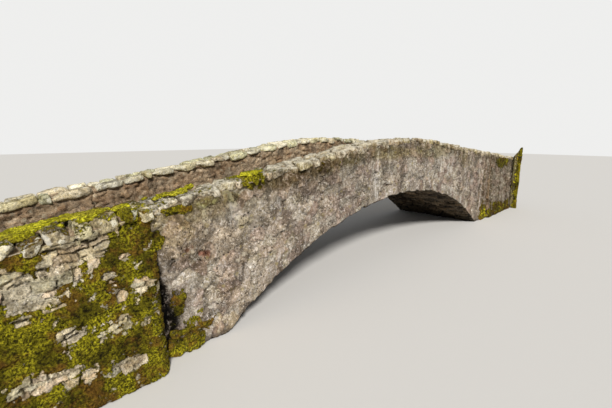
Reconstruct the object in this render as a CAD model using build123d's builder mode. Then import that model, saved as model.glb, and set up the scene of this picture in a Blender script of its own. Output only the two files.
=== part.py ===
from build123d import *
from math import asin, atan, cos, degrees, sin, sqrt
import os

# Packhorse bridge: one segmental arch of harled rubble, with parapets, copings and wing walls.
# Millimetres. X runs along the road, Y across it and Z up. The origin is at mid-span, on the
# centreline, at the level of the springing, where the walls stand.

# Arch
span = 9000
rise = 1407
ring_depth = 330

# Road and walls
path_width = 1800
wall_thickness = 420
crown_cover = 133
parapet_height = 744
coping_height = 150
coping_overhang = 20
coping_chamfer = 30
paving_thickness = 120
crown_paving_length = 3000

# Road line, a hump between two straight ramps
crest_offset = 184
crest_radius = 13170
left_gradient = 0.155
right_gradient = 0.097

# Abutments and approaches
half_length = 7920
abutment_length = 900
abutment_height = 900
left_step = 60
right_step = 30
left_batter = 300
right_batter = 120
batter_height = 1600

# Mossy plinths at the feet of the abutments
plinth_length = 620
plinth_depth = 90
plinth_height = 360
plinth_slope = 60

# Upright flagstone set against the end of the near right parapet
flagstone_thickness = 120
flagstone_lap = 140
flagstone_projection = 300
flagstone_height = 2270
flagstone_shoulder = 640

# Worked out from the sizes above
springing_x = span / 2
intrados_radius = (springing_x**2 + rise**2) / (2 * rise)
extrados_radius = intrados_radius + ring_depth
arch_centre_z = rise - intrados_radius
skew_angle = asin(springing_x / intrados_radius)
skewback_x = extrados_radius * sin(skew_angle)
skewback_z = arch_centre_z + extrados_radius * cos(skew_angle)
inner_y = path_width / 2
outer_y = inner_y + wall_thickness
crest_z = rise + ring_depth + crown_cover + parapet_height
wing_x = springing_x + abutment_length
right_end = half_length - flagstone_thickness
left_end = -half_length
left_tangent_x = crest_offset - crest_radius * sin(atan(left_gradient))
right_tangent_x = crest_offset + crest_radius * sin(atan(right_gradient))
paving_x = crown_paving_length / 2
parapet_drop = coping_height
path_drop = parapet_height
fill_drop = parapet_height + paving_thickness
tall = crest_z + batter_height

os.makedirs("parts", exist_ok=True)


def arc_level(x):
    """Level of the hump's round stretch at x."""
    return crest_z - crest_radius + sqrt(crest_radius**2 - (x - crest_offset) ** 2)


left_tangent_z = arc_level(left_tangent_x)
right_tangent_z = arc_level(right_tangent_x)
left_end_z = left_tangent_z - left_gradient * (left_tangent_x - left_end)
right_end_z = right_tangent_z - right_gradient * (half_length - right_tangent_x)


def area_under_road_line(drop):
    """The area from the ground up to the line of the coping's top, lowered by drop."""
    with BuildSketch() as area:
        with BuildLine():
            Polyline(
                (left_tangent_x, left_tangent_z - drop),
                (left_end, left_end_z - drop),
                (left_end, 0),
                (half_length, 0),
                (half_length, right_end_z - drop),
                (right_tangent_x, right_tangent_z - drop),
            )
            ThreePointArc(
                (right_tangent_x, right_tangent_z - drop),
                (crest_offset, crest_z - drop),
                (left_tangent_x, left_tangent_z - drop),
            )
        make_face()
    return area.sketch


def keep_between(x_from, x_to):
    """Keeps the part of the sketch that lies between two places along the road."""
    with Locations(((x_from + x_to) / 2, tall / 2)):
        Rectangle(x_to - x_from, tall, mode=Mode.INTERSECT)


def road_band(x_from, x_to, upper_drop, lower_drop):
    """The band between two lowered road lines, from x_from to x_to."""
    with BuildSketch() as band:
        add(area_under_road_line(upper_drop))
        add(area_under_road_line(lower_drop), mode=Mode.SUBTRACT)
        keep_between(x_from, x_to)
    return band.sketch


def cut_away_arch():
    """Takes the arch, out to the back of its stones, off the sketch."""
    with Locations((0, arch_centre_z)):
        Circle(extrados_radius, mode=Mode.SUBTRACT)


def cut_away_abutments():
    """Takes the solid foot of the bridge off the sketch."""
    with Locations((0, abutment_height / 2)):
        Rectangle(2 * half_length, abutment_height, mode=Mode.SUBTRACT)


def save(part, name):
    part.label = name
    export_step(part, f"parts/{name}.step")


def wall_plane(side):
    """Upright plane on the nearer face of the wall on that side of the road."""
    return Plane.XZ.offset(outer_y if side == "near" else -inner_y)


# Arch: a ring of face stones on each side, and the barrel between them
with BuildSketch() as ring_section:
    with BuildLine():
        ThreePointArc((-springing_x, 0), (0, rise), (springing_x, 0))
        Line((springing_x, 0), (skewback_x, skewback_z))
        ThreePointArc(
            (skewback_x, skewback_z), (0, rise + ring_depth), (-skewback_x, skewback_z)
        )
        Line((-skewback_x, skewback_z), (-springing_x, 0))
    make_face()

for side in ("near", "far"):
    with BuildPart() as arch_ring:
        with BuildSketch(wall_plane(side)):
            add(ring_section.sketch)
        extrude(amount=-wall_thickness)
    save(arch_ring.part, f"{side}_arch_ring")

with BuildPart() as arch_barrel:
    with BuildSketch(Plane.XZ.offset(inner_y)):
        add(ring_section.sketch)
    extrude(amount=-path_width)
save(arch_barrel.part, "arch_barrel")

# Abutments: solid masonry from the foot up to the haunches
haunch_x = sqrt(extrados_radius**2 - (abutment_height - arch_centre_z) ** 2)
mid_back_angle = (skew_angle + asin(haunch_x / extrados_radius)) / 2
mid_back = (
    extrados_radius * sin(mid_back_angle),
    arch_centre_z + extrados_radius * cos(mid_back_angle),
)
for end, way in (("left", -1), ("right", 1)):
    with BuildPart() as abutment:
        with BuildSketch(Plane.XZ.offset(outer_y)):
            with BuildLine():
                Polyline(
                    (way * haunch_x, abutment_height),
                    (way * wing_x, abutment_height),
                    (way * wing_x, 0),
                    (way * springing_x, 0),
                    (way * skewback_x, skewback_z),
                )
                ThreePointArc(
                    (way * skewback_x, skewback_z),
                    (way * mid_back[0], mid_back[1]),
                    (way * haunch_x, abutment_height),
                )
            make_face()
        extrude(amount=-2 * outer_y)
    save(abutment.part, f"{end}_abutment")

# Spandrel walls: from the abutments and the arch's back up to the path
for side in ("near", "far"):
    for end, x_from, x_to in (("left", -wing_x, 0), ("right", 0, wing_x)):
        with BuildPart() as spandrel:
            with BuildSketch(wall_plane(side)):
                add(area_under_road_line(path_drop))
                keep_between(x_from, x_to)
                cut_away_abutments()
                cut_away_arch()
            extrude(amount=-wall_thickness)
        save(spandrel.part, f"{side}_{end}_spandrel")

# Parapets and copings on the bridge proper
for side in ("near", "far"):
    for end, x_from, x_to in (("left", -wing_x, 0), ("right", 0, wing_x)):
        with BuildPart() as parapet:
            with BuildSketch(wall_plane(side)):
                add(road_band(x_from, x_to, parapet_drop, path_drop))
            extrude(amount=-wall_thickness)
        save(parapet.part, f"{side}_{end}_parapet")


def coping_course(side, x_from, x_to, step):
    """A course of coping stones over a wall that stands step proud, its top edges worn round."""
    near_step = step if side == "near" else 0
    with BuildPart() as coping:
        with BuildSketch(wall_plane(side).offset(coping_overhang + near_step)):
            add(road_band(x_from, x_to, 0, parapet_drop))
        extrude(amount=-(wall_thickness + step + 2 * coping_overhang))
        side_edges = coping.faces().filter_by(Axis.Y).edges()
        chamfer([edge for edge in side_edges if is_upper(edge, x_from, x_to)], coping_chamfer)
    return coping.part


def is_upper(edge, x_from, x_to):
    """True for the edges that follow the road line on top of the coping."""
    centre = edge.center()
    inside = x_from + 1 < centre.X < x_to - 1
    return inside and centre.Z > road_level(centre.X) - coping_height / 2


def road_level(x):
    """Level of the coping's top at x."""
    if x < left_tangent_x:
        return left_tangent_z - left_gradient * (left_tangent_x - x)
    if x > right_tangent_x:
        return right_tangent_z - right_gradient * (x - right_tangent_x)
    return arc_level(x)


coping_stretches = (
    ("left_wing", left_end, -wing_x, left_step),
    ("left", -wing_x, 0, 0),
    ("right", 0, wing_x, 0),
    ("right_wing", wing_x, right_end, right_step),
)
for side in ("near", "far"):
    for stretch, x_from, x_to, step in coping_stretches:
        save(coping_course(side, x_from, x_to, step), f"{side}_{stretch}_coping")

# Wing walls and the parapets on them, one battered section cut at the path's level
wings = (
    ("left", left_end, -wing_x, left_step, left_batter),
    ("right", wing_x, right_end, right_step, right_batter),
)


def battered_wall(side, x_from, x_to, step, batter, upper_drop, lower_drop):
    way = -1 if side == "near" else 1
    with BuildPart() as wall:
        with BuildSketch(Plane.YZ.offset(x_from)):
            with BuildLine():
                Polyline(
                    (way * inner_y, 0),
                    (way * (outer_y + batter), 0),
                    (way * (outer_y + step), batter_height),
                    (way * (outer_y + step), tall),
                    (way * inner_y, tall),
                    close=True,
                )
            make_face()
        extrude(amount=x_to - x_from)
        with BuildSketch(Plane.XZ):
            add(area_under_road_line(upper_drop))
            if lower_drop is not None:
                add(area_under_road_line(lower_drop), mode=Mode.SUBTRACT)
        extrude(amount=2 * (outer_y + batter), both=True, mode=Mode.INTERSECT)
    return wall.part


for side in ("near", "far"):
    for end, x_from, x_to, step, batter in wings:
        wing_wall = battered_wall(side, x_from, x_to, step, batter, path_drop, None)
        save(wing_wall, f"{side}_{end}_wing_wall")
        wing_parapet = battered_wall(side, x_from, x_to, step, batter, parapet_drop, path_drop)
        save(wing_parapet, f"{side}_{end}_wing_parapet")

# Rubble fill: over the haunches, and between the wing walls
for end, x_from, x_to in (("left", -wing_x, -paving_x), ("right", paving_x, wing_x)):
    with BuildPart() as haunch_fill:
        with BuildSketch(Plane.XZ.offset(inner_y)):
            add(area_under_road_line(fill_drop))
            keep_between(x_from, x_to)
            cut_away_abutments()
            cut_away_arch()
        extrude(amount=-path_width)
    save(haunch_fill.part, f"{end}_haunch_fill")

for end, x_from, x_to, _, _ in wings:
    with BuildPart() as approach_fill:
        with BuildSketch(Plane.XZ.offset(inner_y)):
            add(area_under_road_line(fill_drop))
            keep_between(x_from, x_to)
        extrude(amount=-path_width)
    save(approach_fill.part, f"{end}_approach_fill")

# Path: paved ramps on the fill, and a crown laid on the arch's back
for end, x_from, x_to in (("left", left_end, -paving_x), ("right", paving_x, right_end)):
    with BuildPart() as ramp:
        with BuildSketch(Plane.XZ.offset(inner_y)):
            add(road_band(x_from, x_to, path_drop, fill_drop))
        extrude(amount=-path_width)
    save(ramp.part, f"path_{end}_ramp")

with BuildPart() as path_crown:
    with BuildSketch(Plane.XZ.offset(inner_y)):
        add(area_under_road_line(path_drop))
        keep_between(-paving_x, paving_x)
        cut_away_arch()
    extrude(amount=-path_width)
save(path_crown.part, "path_crown")

# Plinths: low ledges against the abutments' faces, with a sloping top
for side, y_way in (("near", -1), ("far", 1)):
    for end, x_from, x_to in (
        ("left", -wing_x, -wing_x + plinth_length),
        ("right", wing_x - plinth_length, wing_x),
    ):
        with BuildPart() as plinth:
            with BuildSketch(Plane.YZ.offset(x_from)):
                with BuildLine():
                    Polyline(
                        (y_way * outer_y, 0),
                        (y_way * (outer_y + plinth_depth), 0),
                        (y_way * (outer_y + plinth_depth), plinth_height - plinth_slope),
                        (y_way * outer_y, plinth_height),
                        close=True,
                    )
                make_face()
            extrude(amount=x_to - x_from)
        save(plinth.part, f"{side}_{end}_plinth")

# Flagstone: stands on its edge across the end of the near right parapet
with BuildPart() as flagstone:
    with BuildSketch(Plane.YZ.offset(right_end)):
        with BuildLine():
            Polyline(
                (-outer_y + flagstone_lap, 0),
                (-outer_y - flagstone_projection, 0),
                (-outer_y - flagstone_projection, flagstone_height),
                (-outer_y + flagstone_lap, flagstone_height - flagstone_shoulder),
                close=True,
            )
        make_face()
    extrude(amount=flagstone_thickness)
save(flagstone.part, "end_flagstone")

ring_angle = degrees(2 * skew_angle)
print(f"Arch of {intrados_radius:.0f} mm radius over {ring_angle:.0f} degrees, crest at {crest_z} mm.")
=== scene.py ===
import math
import bpy
import numpy as np
from mathutils import Matrix, Vector
from mathutils.geometry import delaunay_2d_cdt


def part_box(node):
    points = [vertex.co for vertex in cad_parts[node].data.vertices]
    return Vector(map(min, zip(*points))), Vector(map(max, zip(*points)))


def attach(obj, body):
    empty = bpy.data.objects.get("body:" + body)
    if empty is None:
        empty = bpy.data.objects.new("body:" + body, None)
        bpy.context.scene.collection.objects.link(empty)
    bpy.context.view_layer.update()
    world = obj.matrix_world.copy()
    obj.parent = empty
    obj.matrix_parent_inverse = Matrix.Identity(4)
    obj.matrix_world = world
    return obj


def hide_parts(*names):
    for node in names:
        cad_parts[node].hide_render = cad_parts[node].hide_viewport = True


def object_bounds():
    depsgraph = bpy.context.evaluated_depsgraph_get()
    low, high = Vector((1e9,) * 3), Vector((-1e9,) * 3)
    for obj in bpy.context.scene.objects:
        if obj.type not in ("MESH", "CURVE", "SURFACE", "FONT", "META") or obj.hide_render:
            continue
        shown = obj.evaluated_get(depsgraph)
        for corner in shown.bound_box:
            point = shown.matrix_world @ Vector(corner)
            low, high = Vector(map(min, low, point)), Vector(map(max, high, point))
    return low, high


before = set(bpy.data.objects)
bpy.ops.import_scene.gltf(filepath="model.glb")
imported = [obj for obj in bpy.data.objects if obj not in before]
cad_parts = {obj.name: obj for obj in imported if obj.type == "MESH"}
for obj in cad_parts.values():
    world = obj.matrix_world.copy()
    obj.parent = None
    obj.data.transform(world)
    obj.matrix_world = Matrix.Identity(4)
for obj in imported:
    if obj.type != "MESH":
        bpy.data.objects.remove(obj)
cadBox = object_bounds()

# The bridge's own sizes in metres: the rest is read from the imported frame
bridge = {
    "halfSpan": 4.5,
    "rise": 1.407,
    "crestX": 0.184,
    "crestRadius": 13.17,
    "leftGradient": 0.155,
    "rightGradient": 0.097,
    "parapetHeight": 0.744,
    "batterHeight": 1.6,
}
leftEnd = cadBox[0][0]
wallLow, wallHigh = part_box("near_left_parapet")
rightLow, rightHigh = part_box("near_right_wing_wall")
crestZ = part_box("near_right_coping")[1][2]
outerY, innerY = -wallLow[1], -wallHigh[1]
wingX, rightEnd = rightLow[0], rightHigh[0]
intradosRadius = (bridge["halfSpan"] ** 2 + bridge["rise"] ** 2) / (2 * bridge["rise"])
archCentreZ = bridge["rise"] - intradosRadius
leftReach = bridge["crestRadius"] * math.sin(math.atan(bridge["leftGradient"]))
rightReach = bridge["crestRadius"] * math.sin(math.atan(bridge["rightGradient"]))
ways = {"near": -1, "far": 1}


def road(x):
    # level of the coping's top: a hump between two straight ramps
    dx = np.asarray(x, float) - bridge["crestX"]
    bent = np.clip(dx, -leftReach, rightReach)
    hump = np.sqrt(bridge["crestRadius"] ** 2 - bent**2) - bridge["crestRadius"]
    leftRamp = bridge["leftGradient"] * np.maximum(0, -dx - leftReach)
    rightRamp = bridge["rightGradient"] * np.maximum(0, dx - rightReach)
    return crestZ + hump - leftRamp - rightRamp


def archLevel(x):
    # level of the arch's underside, and the water's level beyond it
    x = np.asarray(x, float)
    inside = np.abs(x) < bridge["halfSpan"]
    reach = np.where(inside, x, 0.0)
    return np.where(inside, archCentreZ + np.sqrt(intradosRadius**2 - reach**2), 0.0)


# Node helpers: they add to the tree that was begun last. A Field is an output socket that can be
# added, subtracted, multiplied and divided like a number.
bench = {}
middle = (0.5, 0.5, 0.5)


class Field:
    def __init__(self, socket):
        self.socket = socket
        self.isVector = socket.type in ("VECTOR", "RGBA")

    def parts(self):
        return outputs("ShaderNodeSeparateXYZ", [self])

    __add__ = lambda a, b: calc("ADD", a, b)
    __radd__ = lambda a, b: calc("ADD", b, a)
    __sub__ = lambda a, b: calc("SUBTRACT", a, b)
    __rsub__ = lambda a, b: calc("SUBTRACT", b, a)
    __mul__ = lambda a, b: calc("MULTIPLY", a, b)
    __truediv__ = lambda a, b: calc("DIVIDE", a, b)
    __rtruediv__ = lambda a, b: calc("DIVIDE", b, a)


def feed(socket, value):
    if isinstance(value, Field):
        bench["tree"].links.new(value.socket, socket)
    elif value is not None:
        socket.default_value = value


def outputs(kind, inputs=(), **settings):
    # adds a node, feeds its inputs by place or by name, and gives back its outputs
    node = bench["tree"].nodes.new(kind)
    for key, value in settings.items():
        setattr(node, key, value)
    for key, value in inputs.items() if isinstance(inputs, dict) else enumerate(inputs):
        feed(node.inputs[key], value)
    return [Field(socket) for socket in node.outputs]


def add(kind, inputs=(), out=0, **settings):
    return outputs(kind, inputs, **settings)[out]


def calc(operation, *terms):
    # works on vectors where one of the terms is a vector, and on numbers otherwise
    vectors = [isinstance(term, tuple) or getattr(term, "isVector", False) for term in terms]
    if not any(vectors):
        return add("ShaderNodeMath", terms, operation=operation)
    if operation == "MULTIPLY" and not vectors[1]:
        return add("ShaderNodeVectorMath", {0: terms[0], "Scale": terms[1]}, operation="SCALE")
    return add("ShaderNodeVectorMath", terms, int(operation == "DOT_PRODUCT"), operation=operation)


def joinVec(x, y, z):
    return add("ShaderNodeCombineXYZ", [x, y, z])


def noise(vector, scale, detail=3.0, roughness=0.5, distortion=0.0, out=0):
    values = {"Vector": vector, "Scale": scale, "Detail": detail, "Roughness": roughness}
    return add("ShaderNodeTexNoise", {**values, "Distortion": distortion}, out)


def voronoi(vector, scale=1.0, randomness=1.0, **settings):
    # gives back distance, colour and position
    values = {"Vector": vector, "Scale": scale, "Randomness": randomness}
    return outputs("ShaderNodeTexVoronoi", values, **settings)[:3]


def fit(value, low, high, toLow=0.0, toHigh=1.0, smooth=True):
    shape = "SMOOTHSTEP" if smooth else "LINEAR"
    return add("ShaderNodeMapRange", [value, low, high, toLow, toHigh], interpolation_type=shape)


def mixColour(factor, a, b, blend="MIX"):
    return add("ShaderNodeMix", {0: factor, 6: a, 7: b}, 2, data_type="RGBA", blend_type=blend)


def shaded(colour, factor):
    # the colour times another colour or a number
    return mixColour(1.0, colour, factor, "MULTIPLY")


def newGroup(name, kind, inputs):
    # begins a node group; an input is given by its socket's type or by its start value
    tree = bench["tree"] = bpy.data.node_groups.new(name, kind)
    for label, start in inputs.items():
        typed = isinstance(start, str)
        socketType = start if typed else {int: "Int", float: "Float"}[type(start)]
        socket = tree.interface.new_socket(name=label, in_out="INPUT", socket_type="NodeSocket" + socketType)
        if not typed:
            socket.default_value = start
    return {socket.name: Field(socket) for socket in tree.nodes.new("NodeGroupInput").outputs if socket.name}


def giveOut(**results):
    # ends the group with these outputs
    tree = bench["tree"]
    socketTypes = {"VALUE": "Float", "VECTOR": "Vector", "RGBA": "Color", "GEOMETRY": "Geometry"}
    for label, result in results.items():
        socketType = "NodeSocket" + socketTypes[result.socket.type]
        tree.interface.new_socket(name=label, in_out="OUTPUT", socket_type=socketType)
    end = tree.nodes.new("NodeGroupOutput")
    for label, result in results.items():
        feed(end.inputs[label], result)
    return tree


def stored(name, dataType="FLOAT_VECTOR"):
    return add("GeometryNodeInputNamedAttribute", {"Name": name}, data_type=dataType)


def keep(geometry, name, value):
    dataType = "FLOAT_VECTOR" if value.isVector else "FLOAT"
    values = {"Geometry": geometry, "Name": name, "Value": value}
    return add("GeometryNodeStoreNamedAttribute", values, data_type=dataType, domain="POINT")


def moved(geometry, position=None, offset=None):
    return add("GeometryNodeSetPosition", {"Geometry": geometry, "Position": position, "Offset": offset})


def pushed(geometry, height):
    # moves each point along its normal
    return moved(geometry, offset=add("GeometryNodeInputNormal") * height)


def dressed(geometry, material):
    geometry = add("GeometryNodeRealizeInstances", [geometry])
    return add("GeometryNodeSetMaterial", {"Geometry": geometry, "Material": material})


def picker(seed):
    # a random value for each point, from its own step of the seed
    index = add("GeometryNodeInputIndex")

    def pick(low, high, step):
        values = {2: low, 3: high, 7: index, 8: seed + float(step)}
        return add("FunctionNodeRandomValue", values, 1, data_type="FLOAT")

    return pick, index


def srgb(hexColour):
    # the written colour as the linear values that sockets take
    parts = [int(hexColour[i : i + 2], 16) / 255 for i in (0, 2, 4)]
    linear = [c / 12.92 if c <= 0.04045 else ((c + 0.055) / 1.055) ** 2.4 for c in parts]
    return (*linear, 1.0)


def colourList(colours):
    return [srgb(colour) for colour in colours.split()]


# Meshes
def linked(name, data):
    thing = bpy.data.objects.new(name, data)
    bpy.context.scene.collection.objects.link(thing)
    return thing


def grid(x, y, z):
    return np.stack(np.broadcast_arrays(x, y, z), -1)


def meshFrom(name, points, faces):
    mesh = bpy.data.meshes.new(name)
    mesh.from_pydata(np.asarray(points).tolist(), [], faces)
    return linked(name, mesh)


def readVectors(items, key):
    vectors = np.empty(len(items) * 3)
    items.foreach_get(key, vectors)
    return vectors.reshape(-1, 3)


def writeMark(piece, label, values):
    # a number or a vector for each point
    isVector = np.ndim(values) == 2
    mark = piece.data.attributes.new(label, "FLOAT_VECTOR" if isVector else "FLOAT", "POINT")
    mark.data.foreach_set("vector" if isVector else "value", np.asarray(values, float).reshape(-1))


def runNodes(piece, tree, values):
    # puts a geometry tree on the piece, sets its inputs by identifier, and keeps the plain mesh
    modifier = piece.modifiers.new(tree.name, "NODES")
    modifier.node_group = tree
    for item in tree.interface.items_tree:
        if item.item_type == "SOCKET" and item.in_out == "INPUT" and item.name in values:
            modifier[item.identifier] = values[item.name]
    bpy.context.view_layer.update()
    graph = bpy.context.evaluated_depsgraph_get()
    result = piece.evaluated_get(graph)
    made = bpy.data.meshes.new_from_object(result, preserve_all_data_layers=True, depsgraph=graph)
    piece.modifiers.remove(modifier)
    old = piece.data
    piece.data = made
    bpy.data.meshes.remove(old)
    made.name = piece.name
    return piece


# Marks that only the making needs
buildMarks = "relief harl hold mossLean faceKind blockSpot blockPlace blockSize blockTurn".split()


def finishPiece(piece, nodes, keepTint=False):
    mesh = piece.data
    points = readVectors(mesh.vertices, "co")
    writeMark(piece, "under", road(points[:, 0]) - points[:, 2])  # how far below the coping's top
    for label in buildMarks + ["tint"] * (not keepTint):
        if label in mesh.attributes:
            mesh.attributes.remove(mesh.attributes[label])
    points = np.clip(points, cadBox[0], cadBox[1])  # no bump passes the bridge's own box
    mesh.vertices.foreach_set("co", points.reshape(-1))
    mesh.update()
    mesh.shade_smooth()
    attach(piece, "root")
    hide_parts(*nodes)
    mesh.update()
    print(piece.name, len(mesh.loops) - 2 * len(mesh.polygons), "triangles")


# Stone pattern on a plane measured in metres, the same for geometry and for shaders
def stonework(place, size):
    # place's third part tells how many joints are filled; size is the stones' length, their height and
    # 0 for thin beds or 1 for rounded field stones; gives back the distance to the nearest open joint,
    # a tone for each stone, how its face leans, and the level of each chip broken from it
    length, height, rounded = size.parts()
    filled = noise(place * (1.0, 1.0, 0.0), 7.5, 4.0, 0.65) + place.parts()[2] * 0.5
    ragged = (noise(place, 26.0, 3.0, 0.6, out=1) - middle) * 0.045
    sway = (noise(place, 2.3, 2.0, 0.5, out=1) - middle) * 0.24
    place = place + ragged + sway
    along, up, _ = place.parts()
    u, v = along / length, up / height
    bedV = v + noise(joinVec(0.0, v * 0.7, 4.0), 1.0, 1.0) * 1.7
    row = calc("FLOOR", bedV)
    rowTone = add("ShaderNodeTexWhiteNoise", {"W": row}, 1, noise_dimensions="1D").parts()
    stretch = rowTone[0] * 0.9 + 0.6
    bedU = u * stretch + rowTone[1] * 31.0
    bedU = bedU + noise(joinVec(bedU, row * 3.7, 0.0), 0.8, 1.0) * 1.2
    column = calc("FLOOR", bedU)
    inU, inV = bedU - column, bedV - row
    bedTone = add("ShaderNodeTexWhiteNoise", {"Vector": joinVec(row, column, 5.0)}, 1)
    inV = inV + (inU - 0.5) * ((bedTone.parts()[1] - 0.5) * 0.5)
    gapU = calc("MINIMUM", inU, 1.0 - inU) * length / stretch
    gapV = calc("MINIMUM", inV, 1.0 - inV) * height
    onPlane = joinVec(u, v, 0.0)
    _, cell, centre = voronoi(onPlane, 1.0, 0.85, voronoi_dimensions="2D")
    edge = voronoi(onPlane, 1.0, 0.85, feature="DISTANCE_TO_EDGE", voronoi_dimensions="2D")[0]
    gap = add("ShaderNodeMix", {0: rounded, 2: calc("SMOOTH_MIN", gapU, gapV, 0.018), 3: edge * height})
    gap = gap + fit(filled, 0.7, 0.8, 0.0, 0.05)
    tone = mixColour(rounded, bedTone, cell)
    away = mixColour(rounded, joinVec(inU - 0.5, inV - 0.5, 0.0), onPlane - centre)
    lean = calc("DOT_PRODUCT", away, tone - middle)
    splinters = (place + ragged * 0.8) * (11.0, 19.0, 0.0)
    chip = voronoi(splinters, voronoi_dimensions="2D")[1].parts()[0]
    return gap, tone, lean, chip


# Relief of a stone wall: stones, joints, rough render and moss, pushed out along the face
reliefSizes = {
    "Joint width": 0.004,
    "Joint rounding": 0.022,
    "Stone tilt": 1.6,
    "Render height": 0.012,
    "Render scale": 9.0,
    "Swell height": 0.03,
    "Swell scale": 1.1,
    "Chip height": 0.016,
    "Moss height": 0.024,
    "Moss scale": 4.5,
    "Seed": 0.0,
}
faceKinds = {"outer": 0, "soffit": 1, "hidden": 2, "inner": 3, "end": 4}


def buildRelief():
    faceMaterials = {kind + " material": "Material" for kind in faceKinds}
    sockets = {"Geometry": "Geometry", **reliefSizes, **faceMaterials}
    start = newGroup("stone relief", "GeometryNodeTree", sockets)
    place = add("GeometryNodeInputPosition")
    spot = place + joinVec(start["Seed"], start["Seed"] * 0.37, 0.0)
    gap, tone, lean, chip = stonework(stored("stoneMap"), stored("stoneSize"))
    body = fit(gap, start["Joint width"], start["Joint width"] + start["Joint rounding"])
    own = (tone.parts()[2] - 0.5) * 0.9
    raised = body * (1.0 + own + lean * start["Stone tilt"])
    broken = noise(place + tone * 30.0, 13.0, 4.0, 0.6) - 0.5
    raised = raised + body * broken * 1.6
    bare = 1.0 - stored("harl", "FLOAT")
    stones = (raised - 0.75) * stored("relief", "FLOAT") * bare
    coarse = (noise(spot, start["Render scale"], 6.0, 0.68) - 0.5) * start["Render height"]
    wave = (noise(spot, start["Swell scale"]) - 0.5) * start["Swell height"]
    chips = (chip - 0.5) * start["Chip height"]
    inJoint = (1.0 - body) * (bare * 0.08)
    spread = noise(spot, start["Moss scale"], 6.0, 0.68) + inJoint - own * bare * 0.09
    moss = fit(spread + stored("mossLean", "FLOAT"), 0.46, 0.64)
    tufts = (noise(spot, 24.0, 4.0, 0.7) + noise(spot, 7.5, 2.0)) * start["Moss height"]
    stones = stones * (1.0 - moss * 0.6) + chips * (1.0 - moss)
    height = (stones + coarse + wave + moss * tufts) * stored("hold", "FLOAT")
    mesh = pushed(keep(start["Geometry"], "moss", moss), height)
    mesh = add("GeometryNodeRealizeInstances", [mesh])
    faceKind = stored("faceKind", "INT")
    for kind, code in faceKinds.items():
        chosen = add("FunctionNodeCompare", {2: faceKind, 3: code}, data_type="INT", operation="EQUAL")
        values = {"Geometry": mesh, "Selection": chosen, "Material": start[kind + " material"]}
        mesh = add("GeometryNodeSetMaterial", values)
    return giveOut(Geometry=mesh)


relief = buildRelief()


def fromMiddle(x, z, cx, cz, rx, rz):
    # 0 in the middle of an ellipse, 1 on its rim
    return np.sqrt(((x - cx) / rx) ** 2 + ((z - cz) / rz) ** 2)


def paintTints(x, z, stains, stones=()):
    # each stain or patch of painted shade is (x, z, half width, half height, red, green, blue) and
    # multiplies the wall's colour; a stone has its bulge before the colour, a crisp edge and a dark seam
    # round it
    tint = np.ones((*x.shape, 3))
    for *ellipse, red, green, blue in stains:
        share = np.clip((1.3 - fromMiddle(x, z, *ellipse)) / 0.6, 0, 1)[..., None]
        tint = tint * (1 - share + share * np.array([red, green, blue]))
    for cx, cz, rx, rz, _, *factor in stones:
        # uneven outlines
        dx = x - cx + 0.022 * np.sin(23 * z + 40 * cx) + 0.012 * np.sin(61 * z + 9 * cz)
        dz = z - cz + 0.018 * np.sin(27 * x + 30 * cz) + 0.01 * np.sin(67 * x + 7 * cx)
        far = (np.abs(dx / rx) ** 3 + np.abs(dz / rz) ** 3) ** (1 / 3)
        share = np.clip((1.1 - far) / 0.25, 0, 1)[..., None]
        seam = np.exp(-(((far - 1.12) / 0.1) ** 2))[..., None]
        tint = tint * (1 - share + share * np.array(factor)) * (1 - 0.4 * seam)
    return tint


def faced(length, height, relief, harl, filled, moss=-1.0, rounded=0.0, **more):
    # how a face is laid: the stones' length and height, how far they stand out, the share that render
    # hides, how many joints are filled, how freely moss grows, and rounded for field stones
    size = (length, height, rounded)
    return {"size": size, "relief": relief, "harl": harl, "filled": filled, "moss": moss, **more}


def mossOn(x, z, values):
    # how freely moss grows; each patch is (x, z, half width, half height, strength)
    lean = np.full(x.shape, values["moss"])
    for *ellipse, strength in values.get("patches", ()):
        lean = np.maximum(lean, strength - 0.35 * np.maximum(0, fromMiddle(x, z, *ellipse) - 0.55))
    if "mossLine" in values:
        # below this line the moss closes up, but for some bare stones
        lineX, lineZ = zip(*values["mossLine"])
        lean = np.maximum(lean, 0.12 - 0.9 * np.maximum(0, z - np.interp(x, lineX, lineZ)))
        for ellipse in values["bare"]:
            lean = lean - 0.24 * np.clip(1.6 * (1 - fromMiddle(x, z, *ellipse)), 0, 1)
    return lean


def stoneMarks(points, kinds, finish, seed):
    # per point: where it lies among the stones, how far they stand out, and how freely moss grows
    x, y, z = points[..., 0], points[..., 1], points[..., 2]
    turn = np.arcsin(np.clip(x / intradosRadius, -1, 1))
    away = np.hypot(x, z - archCentreZ) - intradosRadius
    curve = intradosRadius * turn
    planes = {"soffit": (y, curve), "end": (y, z)}
    marks = {label: np.zeros(x.shape) for label in ("relief", "harl", "hold")}
    marks["mossLean"] = np.full(x.shape, -1.0)
    marks["stoneMap"] = np.zeros(points.shape)
    marks["stoneSize"], marks["tint"] = np.ones(points.shape), np.ones(points.shape)

    def lay(here, along, up, values):
        for part, value in enumerate((along, up, values["filled"])):
            marks["stoneMap"][here, part] = value[here] if np.ndim(value) else value
        marks["stoneSize"][here] = values["size"]
        marks["harl"][here] = values["harl"]

    for kind, values in finish.items():
        here = kinds == faceKinds[kind]
        along, up = planes.get(kind, (x, road(x) - z))
        lay(here, along + seed + 7 * faceKinds[kind], up + seed, values)
        marks["relief"][here], marks["hold"][here] = values["relief"], 1.0
        marks["mossLean"][here] = mossOn(x, z, values)[here]
        if "ring" in values:
            # the arch's own stones stand on the curve
            inRing = here & (away < values["ring"]["depth"]) & (np.abs(x) < bridge["halfSpan"] + 0.25)
            lay(inRing, away + seed, curve, values["ring"])
        # stains, and painted shade in the corners, multiply the colour
        if "stains" in values:
            marks["tint"][here] = paintTints(x, z, values["stains"], values.get("stones", ()))[here]
    return marks


def pinch(edgeDistance, width):
    # 0 on an edge, 1 from width on
    return np.clip(edgeDistance / width, 0, 1)


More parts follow.
